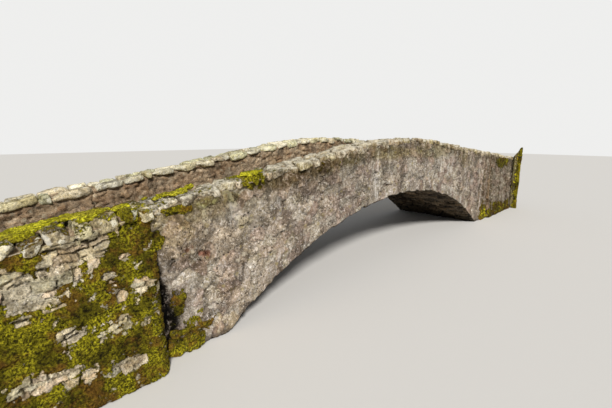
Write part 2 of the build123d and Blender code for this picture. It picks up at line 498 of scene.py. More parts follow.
def capPoints(loop, spacing):
    # a loose grid of points inside a loop, clear of its edge
    ticks = (np.arange(low, high, spacing) + spacing / 2 for low, high in zip(loop.min(0), loop.max(0)))
    spots = np.stack(np.meshgrid(*ticks), -1).reshape(-1, 2)
    a, b = loop[None], np.roll(loop, -1, 0)[None]
    p, run = spots[:, None], b - a
    crosses = (a[..., 1] > p[..., 1]) != (b[..., 1] > p[..., 1])
    rise = np.where(run[..., 1] == 0, 1.0, run[..., 1])
    crosses &= p[..., 0] < a[..., 0] + (p[..., 1] - a[..., 1]) / rise * run[..., 0]
    inside = crosses.sum(1) % 2 == 1
    along = np.clip(((p - a) * run).sum(-1) / np.maximum((run**2).sum(-1), 1e-12), 0, 1)
    far = np.linalg.norm(p - a - along[..., None] * run, axis=-1).min(1)
    return spots[inside & (far > 0.45 * spacing)]


def closeTube(rings, kinds, spacing):
    # the faces round the rings, and a net of triangles over each end
    stations, around = rings.shape[:2]
    points, kindList = [rings.reshape(-1, 3)], [kinds.reshape(-1)]
    i, j = np.meshgrid(np.arange(stations - 1), np.arange(around), indexing="ij")
    beside = (j + 1) % around
    start, after = i * around, (i + 1) * around
    quads = np.stack([start + j, start + beside, after + beside, after + j], -1)
    faces = quads.reshape(-1, 4).tolist()
    faceKind = np.broadcast_to(kinds[:-1], quads.shape[:2]).reshape(-1).tolist()
    sweep = rings[-1].mean(0) - rings[0].mean(0)
    count = stations * around
    for station, ahead in ((0, -1), (stations - 1, 1)):
        ring = rings[station]
        square = np.cross(ring, np.roll(ring, -1, 0)).sum(0)
        drop = int(np.abs(square).argmax())
        flat = [axis for axis in range(3) if axis != drop]
        extra = capPoints(ring[:, flat], spacing)
        spots = [Vector(c) for c in np.concatenate([ring[:, flat], extra])]
        net = delaunay_2d_cdt(spots, [], [list(range(around))], 1, 1e-6)
        inner = np.zeros((len(extra), 3))
        inner[:, flat] = extra
        inner[:, drop] = ring[0, drop] - ((extra - ring[0, flat]) @ square[flat]) / square[drop]
        points.append(inner)
        kindList.append(np.full(len(extra), faceKinds["end"]))
        origins = [origin[0] for origin in net[3]]
        place = [station * around + k if k < around else count + k - around for k in origins]
        every = np.concatenate(points)
        wanted = ahead if np.dot(square, sweep) > 0 else -ahead
        for corners in net[2]:
            face = [place[k] for k in corners]
            a, b, c = every[face[:3]]
            faces.append(face if np.dot(np.cross(b - a, c - a), sweep) * wanted > 0 else face[::-1])
            faceKind.append(faceKinds["end"])
        count += len(extra)
    if np.dot(square, sweep) < 0:
        faces = [face[::-1] for face in faces]
    return np.concatenate(points), np.concatenate(kindList), faces, faceKind


def masonry(name, tube, finish, seed, faceLooks, values, adjust=None):
    # A closed skin of stones. tube: rings, kinds of their faces and the ends' spacing; faceLooks: the
    # material for each kind of face and for the rest; adjust changes the marks before the relief grows.
    points, kinds, faces, faceKind = closeTube(*tube)
    marks = stoneMarks(points, kinds, finish, seed)
    if adjust:
        adjust(points, kinds, marks)
    piece = meshFrom(name, points, faces)
    piece.data.attributes.new("faceKind", "INT", "FACE").data.foreach_set("value", faceKind)
    for label, spots in marks.items():
        writeMark(piece, label, spots)
    chosen = {kind + " material": materials[faceLooks.get(kind, faceLooks["rest"])] for kind in faceKinds}
    return runNodes(piece, relief, {**values, **chosen})


def wallPiece(name, side, xs, foot, bottom, rows, finish, faceLooks, values):
    # A wall from its bottom, a level at each x, up to the coping. foot(x, z): how far out the outer
    # face lies; rows: how many points each stretch of the section gets.
    chamfer = mainWall["chamfer"]
    zb, zt = bottom(xs), wallTop(xs)
    zp = np.maximum(road(xs) - bridge["parapetHeight"] - mainWall["underPath"], zb + 0.02)

    def levels(zFrom, zTo, count):
        return zFrom[:, None] + (zTo - zFrom)[:, None] * np.linspace(0, 1, count, endpoint=False)

    zOuter = levels(zb + chamfer * 1.6, zt, rows["outer"])
    zInner, zBack = levels(zt, zp, rows["inner"]), levels(zp, zb, rows["back"])
    oOuter = foot(xs[:, None], zOuter)
    coreOut, coreUp = np.transpose(mainWall["core"])
    footOut = foot(xs, zb)[:, None] - chamfer
    oUnder = innerY + (footOut - innerY) * np.linspace(0, 1, rows["bottom"])
    section = [
        ("outer", oOuter, zOuter),
        ("hidden", oOuter[:, -1:] - coreOut, zt[:, None] + coreUp),
        ("inner", innerY + 0 * zInner, zInner),
        ("hidden", innerY + 0 * zBack, zBack),
        ("soffit", oUnder, zb[:, None] + 0 * oUnder),
    ]
    sectionKinds, outs, levelsUp = zip(*section)
    o, z = np.concatenate(outs, 1), np.concatenate(levelsUp, 1)
    codes = [faceKinds[kind] for kind in sectionKinds]
    kinds = np.repeat(codes, [part.shape[1] for part in outs])[None, :] * np.ones((len(xs), 1), int)
    rings = grid(xs[:, None], ways[side] * o, z)

    def tameEdges(points, kinds, marks):
        # the relief dies out at the top, which the coping hides, and near the arch's edge
        x, y, z = points.T
        low, high = np.interp(x, xs, zb), np.interp(x, xs, zt)
        hold = marks["hold"] * (0.3 + 0.7 * pinch(high - z, 0.03))
        onArch = (low > 0.0) & (kinds == faceKinds["outer"])
        hold = np.where(onArch, hold * (0.35 + 0.65 * pinch(z - low, 0.12)), hold)
        under = kinds == faceKinds["soffit"]
        marks["hold"] = np.where(under, hold * (0.1 + 0.9 * pinch(outerY - np.abs(y), 0.15)), hold)

    tube = (rings, kinds, rows["endSpacing"])
    return masonry(name, tube, finish, values["Seed"], faceLooks, values, tameEdges)


# Shader groups shared by the stone materials
def buildSkin():
    # colour and height of weathered stone or render: blotches, lumps, grain, pits and pale spots; the lumps'
    # hollows, the low grain and the pits are painted darker as shade, raised lumps paler as painted
    # highlight
    start = newGroup("stone skin", "ShaderNodeTree", {
        "Vector": "Vector", "Main": "Color", "Warm": "Color", "Dark": "Color", "Pale": "Color",
        "Blotch scale": 3.0, "Grain scale": 60.0, "Pale amount": 0.3, "Pit shade amount": 0.4, "Contrast": 1.0,
    })
    at, contrast, dark = start["Vector"], start["Contrast"], start["Dark"]
    blotchScale, grainScale = start["Blotch scale"], start["Grain scale"]
    colour = mixColour(fit(noise(at, blotchScale, 6.0, 0.65, 0.6), 0.4, 0.6), start["Main"], start["Warm"])
    grain = noise(at, grainScale, 5.0, 0.7)
    lumps = noise(at, grainScale * 0.28, 6.0, 0.78)
    broad = noise(at + (3.1, 1.7, 9.2), blotchScale * 1.6, 5.0, 0.7, 0.4)
    # painted shade in the hollows between the lumps, where the relief is low
    colour = mixColour((1.0 - fit(lumps, 0.34, 0.5)) * 0.55 * contrast, colour, dark)
    colour = mixColour((1.0 - fit(broad, 0.38, 0.53)) * 0.6 * contrast, colour, dark)
    spots = fit(noise(at, grainScale * 0.45, 6.0, 0.8), 0.53, 0.63)
    # pale spots, and painted highlight on the raised lumps
    spots = calc("MAXIMUM", spots, fit(lumps, 0.5, 0.62) * fit(broad, 0.46, 0.62))
    colour = mixColour(spots * start["Pale amount"], colour, start["Pale"])
    # the grain's tone follows its height: partly the stone's own grain, partly painted light and shade
    colour = shaded(colour, fit(grain, 0.34, 0.66, 1.0 - contrast * 0.5, 1.0 + contrast * 0.42, False))
    pitMap = at + noise(at, 30.0, 2.0, out=1) * 0.03
    pit = 1.0 - fit(voronoi(pitMap, grainScale * 0.4)[0], 0.14, 0.34)
    pit = pit * fit(noise(at, 5.0), 0.44, 0.58) * start["Pit shade amount"]
    # painted shade in the pits
    colour = mixColour(pit, colour, (0.02, 0.015, 0.011, 1.0))
    return giveOut(Colour=colour, Height=grain * 0.5 + lumps * 1.4 - pit * 0.8)


def buildStreaks():
    # stains that run down an upright face
    sockets = {"Vector": "Vector", "Across scale": 9.0, "Amount": 0.5}
    start = newGroup("rain streaks", "ShaderNodeTree", sockets)
    at = start["Vector"]
    x, y, z = at.parts()
    drawn = joinVec(x + noise(at, 2.5, 2.0) * 0.35, y, z * 0.12)
    run = noise(drawn, start["Across scale"], 5.0, 0.65)
    pale = fit(run, 0.52, 0.66) * fit(noise(at, 1.4), 0.4, 0.62) * start["Amount"]
    return giveOut(Pale=pale, Dark=(1.0 - fit(run, 0.33, 0.46)) * start["Amount"])


def buildLichen():
    # crusty round colonies: pale grey-white and ochre
    start = newGroup("lichen crust", "ShaderNodeTree", {"Vector": "Vector", "Scale": 9.0, "Cover": 0.5})
    at = start["Vector"]
    distance, cell, _ = voronoi(at + noise(at, 22.0, 4.0, out=1) * 0.05, start["Scale"])
    chance = cell.parts()
    disc = fit(chance[0] * start["Cover"] - distance, -0.02, 0.05)
    return giveOut(Mask=disc * fit(noise(at, 55.0, 4.0, 0.7), 0.36, 0.55), Tone=chance[1])


def buildMoss():
    # moss: colour from deep shade to sunlit tips, and its fuzz
    start = newGroup("moss tone", "ShaderNodeTree", {
        "Vector": "Vector", "Deep": "Color", "Mid": "Color", "Bright": "Color", "Brown": "Color",
        "Brightness": 0.5, "Brown share": 0.5,
    })
    at = start["Vector"]
    fuzz = noise(at, 140.0, 4.0, 0.75)
    tuft = noise(at, 48.0, 5.0, 0.75, 0.3)
    clump = noise(at, 16.0, 4.0, 0.65)
    colour = mixColour(fit(clump, 0.38, 0.56), start["Deep"], start["Mid"])
    lit = fit(noise(at, 3.3, 4.0, 0.6), 0.4, 0.6) + (start["Brightness"] - 0.5)
    lit = add("ShaderNodeClamp", [lit]) * fit(tuft, 0.42, 0.62, 0.15)
    colour = mixColour(lit, colour, start["Bright"])
    dead = fit(noise(at + (5.0, 2.0, 8.0), 4.2, 5.0, 0.7), 0.48, 0.62)
    colour = mixColour(dead * start["Brown share"], colour, start["Brown"])
    shade = fit(tuft, 0.36, 0.62, 0.22, 1.6, False) * fit(fuzz, 0.3, 0.7, 0.65, 1.35, False)
    return giveOut(Colour=shaded(colour, shade), Height=fuzz * 0.35 + tuft + clump * 0.8)


def buildStonework():
    # the walls' stone pattern once more, at the render's own fineness
    sockets = {"Place": "Vector", "Size": "Vector", "Joint width": 0.006}
    start = newGroup("stonework", "ShaderNodeTree", sockets)
    gap, tone, _, chip = stonework(start["Place"], start["Size"])
    width = start["Joint width"]
    joint = fit(gap, width * 0.4, width * 1.5, 1.0, 0.0)
    return giveOut(Joint=joint, Tone=tone, Edge=fit(gap, width, width + 0.03, 1.0, 0.0), Chip=chip)


groups = {
    "stonework": buildStonework(),
    "skin": buildSkin(),
    "streaks": buildStreaks(),
    "lichen": buildLichen(),
    "moss": buildMoss(),
}


def useGroup(name, *values):
    return outputs("ShaderNodeGroup", values, node_tree=groups[name])


def startMaterial(name, roughness, specular=0.12):
    material = bpy.data.materials.new(name)
    material.use_nodes = True
    tree = bench["tree"] = material.node_tree
    tree.nodes.clear()
    shader = tree.nodes.new("ShaderNodeBsdfPrincipled")
    shader.inputs["Roughness"].default_value = roughness
    shader.inputs["Specular IOR Level"].default_value = specular
    tree.links.new(shader.outputs[0], tree.nodes.new("ShaderNodeOutputMaterial").inputs[0])
    return material, shader, Field(tree.nodes.new("ShaderNodeTexCoord").outputs["Object"])


def endMaterial(material, shader, colour, height, distance):
    feed(shader.inputs["Base Color"], colour)
    bumps = {"Height": height, "Distance": distance, "Strength": 1.0}
    feed(shader.inputs["Normal"], add("ShaderNodeBump", bumps))
    return material


def attribute(name, isVector=False):
    return add("ShaderNodeAttribute", (), 1 if isVector else 2, attribute_name=name)


def varied(colour, value, contrast):
    return shaded(colour, fit(value, 0.0, 1.0, 1.0 - contrast, 1.0 + contrast, False))


# Moss colours: deep, middle, bright and brown
mossColours = colourList("2b2406 6a6213 c4ba28 835e24")
cushionColours = colourList("6a6010 a8a218 e6e03c b09c44")
# Looks of the stones. Colours: main, warm, dark, pale, odd stones, blushing stones, crust, ochre, joint
# and film of algae, the last two only where they are used.
# skin: scale of blotches, scale of grain, pale spots, pits painted dark as shade, contrast of tone and
# painted shading
# stones: contrast between them, odd ones
# streaks: scale across, amount
# lichen: scale, cover, amount
# joints: amount, width, scale of the patches where they show, from, to, least share, contrast of chips
# green: how far the film of algae reaches down, amount
# moss: brightness, brown share
looks = {
    "harledRender": {
        "colours": "aca08f ada089 3b342c f4eee6 efdcd8 eae2df ddd5c4 a39462 2c231a 9a9166",
        "skin": (2.6, 66.0, 0.8, 0.9, 1.0), "stones": (0.24, 0.6), "streaks": (8.0, 0.45), "bump": 0.014,
        "lichen": (10.0, 0.4, 0.65), "joints": (0.85, 0.006, 1.5, 0.5, 0.64, 0.04, 0.1),
        "green": (0.62, 0.62), "tintEdge": 10.0,
    },
    "wingRubble": {
        "colours": "e3d7ba e3d1a8 6c5e47 fdf7ea e3e6d8 eedfd8 ddd8bc 9b8d4e 3b2f21 b4ae84",
        "skin": (3.4, 62.0, 0.6, 0.6, 1.0), "stones": (0.2, 0.7), "streaks": (6.0, 0.2), "bump": 0.022,
        "lichen": (9.0, 0.4, 0.5), "joints": (0.85, 0.0035, 3.4, 0.4, 0.58, 0.15, 0.24),
        "green": (0.4, 0.3), "moss": (0.52, 0.8),
    },
    "innerRubble": {
        "colours": "a79379 a58d6e 40352a e0d3ba efdccf dccfc6 cdc6ac 94834c 2b2219",
        "skin": (3.0, 52.0, 0.4, 0.4, 1.0), "stones": (0.2, 0.6), "streaks": (6.0, 0.2), "bump": 0.013,
        "lichen": (9.0, 0.35, 0.4), "joints": (0.7, 0.005, 3.0, 0.36, 0.56, 0.2, 0.16),
    },
    "soffitRubble": {
        "colours": "52483b 5c4d39 201b16 9c917d e0d6cc cbbdae a09a84 6d6440 0d0b09",
        "skin": (2.0, 46.0, 0.35, 0.3, 0.9), "stones": (0.5, 0.5), "streaks": (6.0, 0.3), "bump": 0.013,
        "lichen": (6.0, 0.2, 0.2), "joints": (0.95, 0.012, 3.0, 0.3, 0.5, 0.5, 0.2),
        "dampLevel": 0.5, "roughness": 0.72,
    },
    "farRubble": {
        "colours": "a39277 aa9670 4b4134 dfd5bf e6e2da eadacf d0ccb5 9b8d4e 2c241b b0aa86",
        "skin": (2.0, 56.0, 0.5, 0.5, 1.0), "stones": (0.16, 0.6), "streaks": (7.0, 0.4), "bump": 0.013,
        "lichen": (9.0, 0.4, 0.5), "joints": (0.8, 0.007, 2.0, 0.4, 0.58, 0.2, 0.14), "green": (0.5, 0.6),
    },
    "copingStone": {
        "colours": "e8e0c4 e4d8b2 5a513e fdfaee e4ead4 eadccb eae6d2 a3964f",
        "skin": (3.4, 50.0, 0.7, 0.6, 1.15), "stones": (0.3, 0.7), "streaks": (9.0, 0.5), "bump": 0.014,
        "lichen": (11.0, 0.55, 0.8), "moss": (0.75, 0.8),
    },
    "wallTopStone": {
        "colours": "b3a58c b2a27c 443a2b f4ecd8 e4e2cc e8dccf e8e2cc 9c8f50",
        "skin": (3.4, 56.0, 0.7, 0.8, 1.3), "stones": (0.3, 0.8), "streaks": (11.0, 0.65), "bump": 0.016,
        "lichen": (11.0, 0.45, 0.6), "moss": (1.0, 0.3), "paleTop": 0.68,
    },
    "slabStone": {
        "colours": "564f34 554a2c 1e180e 968e6a e0e0c0 d8c8b4 b9b48e 8f8440",
        "skin": (3.0, 46.0, 0.35, 0.5, 1.0), "stones": (0.0, 0.0), "streaks": (12.0, 0.8), "bump": 0.013,
        "lichen": (11.0, 0.4, 0.5), "moss": (0.5, 0.4), "tintEdge": 9.0,
    },
    "cobbles": {
        "colours": "857a69 8a785d 443b30 b8ad9a e6e2da eadacf b3af9a 7d7350 352b1e",
        "skin": (2.0, 50.0, 0.3, 0.2, 0.8), "stones": (0.3, 0.6), "streaks": (6.0, 0.0), "bump": 0.01,
        "lichen": (12.0, 0.25, 0.3), "joints": (0.95, 0.01, 3.0, 0.3, 0.5, 0.6, 0.06),
    },
    "mossyStone": {
        "colours": "8f8468 948558 40372a cfc6ac e0e0c0 d8c8b4 c4c1a6 8f8440",
        "skin": (3.0, 50.0, 0.4, 0.4, 1.0), "stones": (0.15, 0.4), "streaks": (6.0, 0.3), "bump": 0.013,
        "lichen": (11.0, 0.4, 0.5), "moss": (0.5, 0.8),
    },
}


def stoneMaterial(name, look):
    # one weathered stone face
    material, shader, place = startMaterial(name, look.get("roughness", 0.92))
    main, warm, dark, pale, odd, blush, crust, ochre, *extra = colourList(look["colours"])
    contrast, oddAmount = look["stones"]
    colour, height = useGroup("skin", place, main, warm, dark, pale, *look["skin"])
    if "joints" in look:
        jointAmount, width, patchScale, patchFrom, patchTo, least, chipContrast = look["joints"]
        stoneMap, stoneSize = attribute("stoneMap", True), attribute("stoneSize", True)
        joint, tone, edge, chip = useGroup("stonework", stoneMap, stoneSize, width)
        colour = varied(colour, chip, chipContrast)
    else:
        tone = attribute("stoneTone", True)
    tone = tone.parts()
    colour = varied(colour, tone[1], contrast)
    for other, part in ((odd, tone[2]), (blush, tone[0])):
        # some stones are of another colour
        colour = mixColour(fit(part, 0.5, 0.85) * oddAmount, colour, shaded(colour, other))
    paleRuns, darkRuns = useGroup("streaks", place, *look["streaks"])
    colour = mixColour(paleRuns, mixColour(darkRuns, colour, dark), pale)
    scale, cover, lichenAmount = look["lichen"]
    mask, kind = useGroup("lichen", place, scale, cover)
    colour = mixColour(mask * lichenAmount, colour, mixColour(fit(kind, 0.6, 0.8), crust, ochre))
    if "joints" in look:
        shown = fit(noise(place, patchScale), patchFrom, patchTo, least) * jointAmount
        colour = mixColour(edge * (shown * 0.22), colour, dark)
        joint = joint * shown
        colour = mixColour(joint, colour, extra[0])
        height = height - joint * 1.2
    level = place.parts()[2] + noise(place, 3.0, 4.0) * 0.25
    wet = 1.0 - fit(level, 0.12, look.get("dampLevel", 0.3))
    colour = mixColour(wet * 0.72, colour, srgb("2c281e"))
    if "paleTop" in look:
        # lichen crust and painted highlight make what faces the sky paler
        bleachedAndLit = attribute("skyward") * fit(noise(place, 11.0, 6.0, 0.78), 0.4, 0.58, 0.1)
        colour = mixColour(bleachedAndLit * look["paleTop"], colour, mixColour(0.5, pale, crust))
    if "green" in look:
        # an olive film of algae on the band under the coping
        reach, amount = look["green"]
        film = 1.0 - fit(attribute("under"), 0.1, reach)
        film = film * fit(noise(place, 3.0, 5.0, 0.65), 0.36, 0.6, 0.25) * amount
        colour = mixColour(film, colour, shaded(colour, extra[1]))
    mossColour, mossHeight = useGroup("moss", place, *mossColours, *look.get("moss", (0.4, 0.8)))
    tattered = noise(place, 19.0, 6.0, 0.82) - 0.5
    moss = fit(attribute("moss") + tattered * 2.4, 0.42, 0.6)
    colour = mixColour(moss, colour, mossColour)
    if "tintEdge" in look:
        share = fit(noise(place, look["tintEdge"], 6.0, 0.78), 0.38, 0.5, 0.22)
        colour = mixColour(share, colour, shaded(colour, attribute("tint", True)))
    height = add("ShaderNodeMix", {0: moss, 2: height, 3: mossHeight * 2.4})
    return endMaterial(material, shader, colour, height, look["bump"])


def mossMaterial(name, brightness, brownShare):
    material, shader, place = startMaterial(name, 1.0, 0.1)
    colour, height = useGroup("moss", place, *cushionColours, brightness, brownShare)
    return endMaterial(material, shader, colour, height, 0.03)


materials = {name: stoneMaterial(name, look) for name, look in looks.items()}
materials["mossCushion"] = mossMaterial("mossCushion", 0.8, 0.35)

# Walls over the arch. core: the middle of the wall's top, how far in from its face and how high, which
# the coping hides
mainWall = {
    "near": {"columns": 610, "density": 0.72, "outer": 92, "inner": 24, "seed": 3.0, "look": "harledRender"},
    "far": {"columns": 410, "density": 1.0, "outer": 50, "inner": 32, "seed": 11.0, "look": "farRubble"},
    "coreBelowTop": 0.1,
    "core": [(0.0, 0.0), (0.07, 0.0), (0.09, 0.03), (0.21, 0.03), (0.33, 0.03), (0.35, 0.0)],
    "chamfer": 0.012,
    "underPath": 0.03,
    "rows": {"back": 3, "bottom": 14, "endSpacing": 0.3},
    "relief": {"Render height": 0.022, "Render scale": 14.0, "Swell height": 0.05},
}
# Stones that show in the near wall's face: x, z, half width, half height, bulge, colour factors
faceStones = [
    (-4.74, 2.0, 0.14, 0.06, 0.03, 0.95, 1.06, 0.72), (-4.73, 1.85, 0.14, 0.08, 0.035, 1.05, 1.14, 0.84),
    (-5.33, 1.62, 0.08, 0.05, 0.03, 1.3, 1.3, 1.25), (-5.13, 1.5, 0.22, 0.14, 0.025, 1.0, 0.97, 0.82),
    (-4.78, 1.2, 0.08, 0.04, -0.02, 0.6, 0.36, 0.32), (-4.95, 1.28, 0.06, 0.03, -0.015, 0.62, 0.42, 0.36),
    (-5.22, 1.04, 0.06, 0.06, 0.03, 1.4, 1.45, 1.5), (-4.52, 0.13, 0.2, 0.15, 0.03, 1.06, 0.99, 0.82),
    (-5.2, 1.28, 0.09, 0.06, 0.02, 1.05, 1.02, 0.95), (-4.4, 1.86, 0.13, 0.07, 0.02, 0.9, 0.92, 0.72),
    (-4.2, 1.5, 0.13, 0.08, 0.02, 0.95, 0.95, 0.82), (-3.66, 1.3, 0.13, 0.09, 0.02, 1.1, 1.08, 1.06),
    (-4.62, 0.62, 0.19, 0.12, 0.015, 1.06, 1.03, 0.98), (-2.9, 1.5, 0.16, 0.1, 0.015, 1.06, 1.03, 1.0),
    (-3.2, 1.7, 0.12, 0.08, 0.015, 0.92, 0.92, 0.85), (-4.15, 1.0, 0.16, 0.1, 0.015, 1.0, 0.98, 0.9),
]
# Stains and painted shade: painted shade in the corners to the wings, stains under the coping and down the
# right part
wallStainsAndShade = [
    # the first four, and the one at x 5.35, are painted shade down the corners to the wings
    (-5.375, 1.02, 0.06, 0.24, 0.03, 0.022, 0.016), (-5.315, 0.7, 0.09, 0.3, 0.02, 0.015, 0.011),
    (-5.25, 0.38, 0.11, 0.3, 0.02, 0.015, 0.011), (-5.17, 0.06, 0.14, 0.15, 0.03, 0.022, 0.016),
    (-3.6, 2.02, 0.55, 0.16, 0.4, 0.35, 0.24), (-2.8, 2.14, 0.6, 0.16, 0.42, 0.37, 0.26),
    (-2.0, 2.24, 0.5, 0.12, 0.5, 0.46, 0.32), (-0.6, 2.3, 0.8, 0.13, 0.82, 0.78, 0.56),
    (1.2, 2.28, 1.0, 0.16, 0.92, 0.9, 0.72), (-4.9, 1.78, 0.6, 0.2, 0.84, 0.8, 0.62),
    (5.0, 1.1, 0.14, 0.9, 0.45, 0.41, 0.33), (4.6, 0.8, 0.07, 0.5, 0.65, 0.6, 0.5),
    (5.35, 1.2, 0.16, 1.2, 0.4, 0.36, 0.3), (3.2, 2.1, 0.2, 0.3, 0.7, 0.66, 0.5),
    (4.4, 1.2, 1.2, 1.6, 0.78, 0.76, 0.76), (-4.7, 1.3, 0.5, 0.25, 0.92, 0.86, 0.78),
    (0.5, 1.6, 3.0, 2.0, 0.84, 0.85, 0.87), (-3.0, 1.2, 1.2, 0.8, 0.9, 0.9, 0.9),
]
# Stains down the right wing, and painted shade in the narrow dark bands at x 5.5 and 7.72: its corner to the
# main wall and its end by the flagstone
rightStainsAndShade = [
    (6.6, 1.2, 1.9, 2.0, 0.44, 0.42, 0.38), (5.5, 1.0, 0.14, 1.0, 0.5, 0.45, 0.36),
    (6.4, 1.0, 0.1, 0.8, 0.62, 0.58, 0.5), (7.2, 1.1, 0.14, 0.8, 0.62, 0.58, 0.5),
    (7.72, 1.0, 0.1, 1.2, 0.3, 0.26, 0.2), (6.3, 0.1, 1.2, 0.3, 0.6, 0.55, 0.5),
]
# A groove where the near wall meets the left wing; its line: level, x
cornerGroove = {
    "half": 0.08,
    "depth": 0.08,
    "line": [(-0.1, -5.18), (0.4, -5.25), (0.73, -5.31), (1.1, -5.37), (1.5, -5.42)],
}
ringStones = faced(0.34, 0.16, 0.0, 0.6, 0.55, depth=0.27)
archUnder = faced(0.38, 0.15, 0.06, 0.0, 0.15)
hiddenEnd = faced(0.3, 0.15, 0.0, 1.0, 0.0)
mainFinish = {
    "near": {
        "outer": faced(
            0.22, 0.17, 0.06, 0.4, 0.62, -0.2, 1.0, ring=ringStones, stains=wallStainsAndShade, stones=faceStones,
            patches=[
                (-4.96, 0.3, 0.34, 0.2, 0.08), (-5.16, 0.7, 0.11, 0.3, 0.08), (-5.36, 1.42, 0.09, 0.2, 0.1),
                (-5.36, 1.74, 0.08, 0.1, 0.05), (-5.13, 1.8, 0.26, 0.08, 0.13), (-4.0, 2.0, 0.22, 0.17, 0.1),
                (5.05, 0.25, 0.4, 0.34, 0.15), (-2.6, 2.13, 1.2, 0.13, -0.03),
            ],
        ),
        "inner": faced(0.2, 0.09, 0.04, 0.1, 0.5, -0.06),
    },
    "far": {
        "outer": faced(0.3, 0.13, 0.035, 0.35, 0.4, -0.1, ring={**ringStones, "harl": 0.2}),
        "inner": faced(0.15, 0.1, 0.045, 0.1, 0.5, -0.16, 0.6),
    },
}


def wallTop(x):
    return road(x) - mainWall["coreBelowTop"]


def gradedColumns(xFrom, xTo, count, density):
    # columns lie closer together at the left end, which is the near one
    u = np.linspace(0, 1, count)
    return xFrom + (xTo - xFrom) * (density * u + (1 - density) * u**2)


def flatFace(x, z):
    return outerY + 0 * x + 0 * z


def stonyFace(x, z):
    # the near wall's face with its standing stones and the groove
    out = flatFace(x, z)
    for cx, cz, rx, rz, bulge, *_ in faceStones:
        far = ((x - cx) / rx) ** 2 + ((z - cz) / rz) ** 2
        out = out + bulge * np.clip(1.25 - far, 0, 1) ** 0.6
    across = (x - np.interp(z, *zip(*cornerGroove["line"]))) / cornerGroove["half"]
    return out - cornerGroove["depth"] * np.exp(-(across**2)) * np.clip((1.5 - z) / 0.4, 0, 1)


def raggedArch(x):
    # the arch's edge as the ends of its stones leave it
    rng = np.random.default_rng(8)
    ends = np.cumsum(rng.uniform(0.07, 0.2, 120)) - 6.0
    lift = rng.uniform(0.0, 0.035, 121)[np.searchsorted(ends, x)]
    return archLevel(x) + np.where(np.abs(x) < bridge["halfSpan"] - 0.3, lift, 0.0)


def archWall(side):
    print(side, "wall")
    wall = mainWall[side]
    xs = gradedColumns(-wingX, wingX, wall["columns"], wall["density"])
    face = stonyFace if side == "near" else flatFace
    finish = {**mainFinish[side], "soffit": archUnder, "end": hiddenEnd}
    faceLooks = {"outer": wall["look"], "soffit": "soffitRubble", "rest": "innerRubble"}
    values, rows = {"Seed": wall["seed"], **mainWall["relief"]}, {**mainWall["rows"], **wall}
    piece = wallPiece(side + "Wall", side, xs, face, raggedArch, rows, finish, faceLooks, values)
    parts = ("arch_ring", "left_spandrel", "right_spandrel", "left_parapet", "right_parapet")
    nodes = [f"{side}_{part}" for part in parts] + ["left_abutment", "right_abutment"]
    finishPiece(piece, nodes, side == "near")


for side in ways:
    archWall(side)

# Wing walls: battered, of thin flat beds that follow the road's slope
wings = {
    "near_left": {
        "columns": 330, "outer": 160, "seed": 21.0, "look": "wingRubble", "wornEdge": 0.13,
        "face": faced(
            0.23, 0.075, 0.05, 0.1, 0.4, -0.12,
            patches=[(-6.53, 1.57, 0.17, 0.09, 0.16), (-7.3, 1.5, 0.2, 0.12, 0.1)],
            mossLine=[
                (-7.9, 1.08), (-6.7, 1.1), (-6.38, 1.05), (-6.04, 1.16), (-5.88, 1.34), (-5.8, 1.66),
                (-5.7, 1.76), (-5.4, 1.8),
            ],
            bare=[
                (-5.61, 1.08, 0.16, 0.1), (-5.8, 1.02, 0.07, 0.08), (-5.89, 1.25, 0.09, 0.06),
                (-5.8, 0.78, 0.09, 0.06), (-6.59, 1.05, 0.09, 0.06), (-6.27, 0.8, 0.16, 0.09),
                (-5.72, 1.4, 0.08, 0.05), (-6.5, 0.45, 0.3, 0.1), (-7.2, 0.6, 0.3, 0.12),
                (-5.8, 0.3, 0.2, 0.1),
            ],
        ),
    },
    "near_right": {
        "columns": 130, "outer": 84, "seed": 33.0, "look": "harledRender",
        "face": faced(
            0.3, 0.1, 0.05, 0.65, 0.6, -0.14, stains=rightStainsAndShade,
            patches=[
                (6.5, 1.78, 0.62, 0.18, 0.2), (6.1, 0.15, 0.95, 0.36, 0.15), (7.3, 0.1, 0.6, 0.3, 0.12),
            ],
        ),
    },
}
for end, middleX, seed in (("left", -6.4, 45.0), ("right", 6.4, 57.0)):
    face = faced(0.3, 0.09, 0.05, 0.1, 0.4, -0.06, patches=[(middleX, 0.3, 1.5, 0.6, 0.08)])
    wings["far_" + end] = {"columns": 120, "outer": 84, "seed": seed, "look": "wingRubble", "face": face}
wingShape = {
    "rows": {"inner": 26, "back": 3, "bottom": 6, "endSpacing": 0.03},
    "inset": 0.03,
    "copingOverhang": 0.02,
    "relief": {
        "Joint rounding": 0.012, "Render height": 0.026, "Render scale": 16.0, "Swell height": 0.05,
        "Swell scale": 2.0, "Chip height": 0.022, "Moss height": 0.034,
    },
}


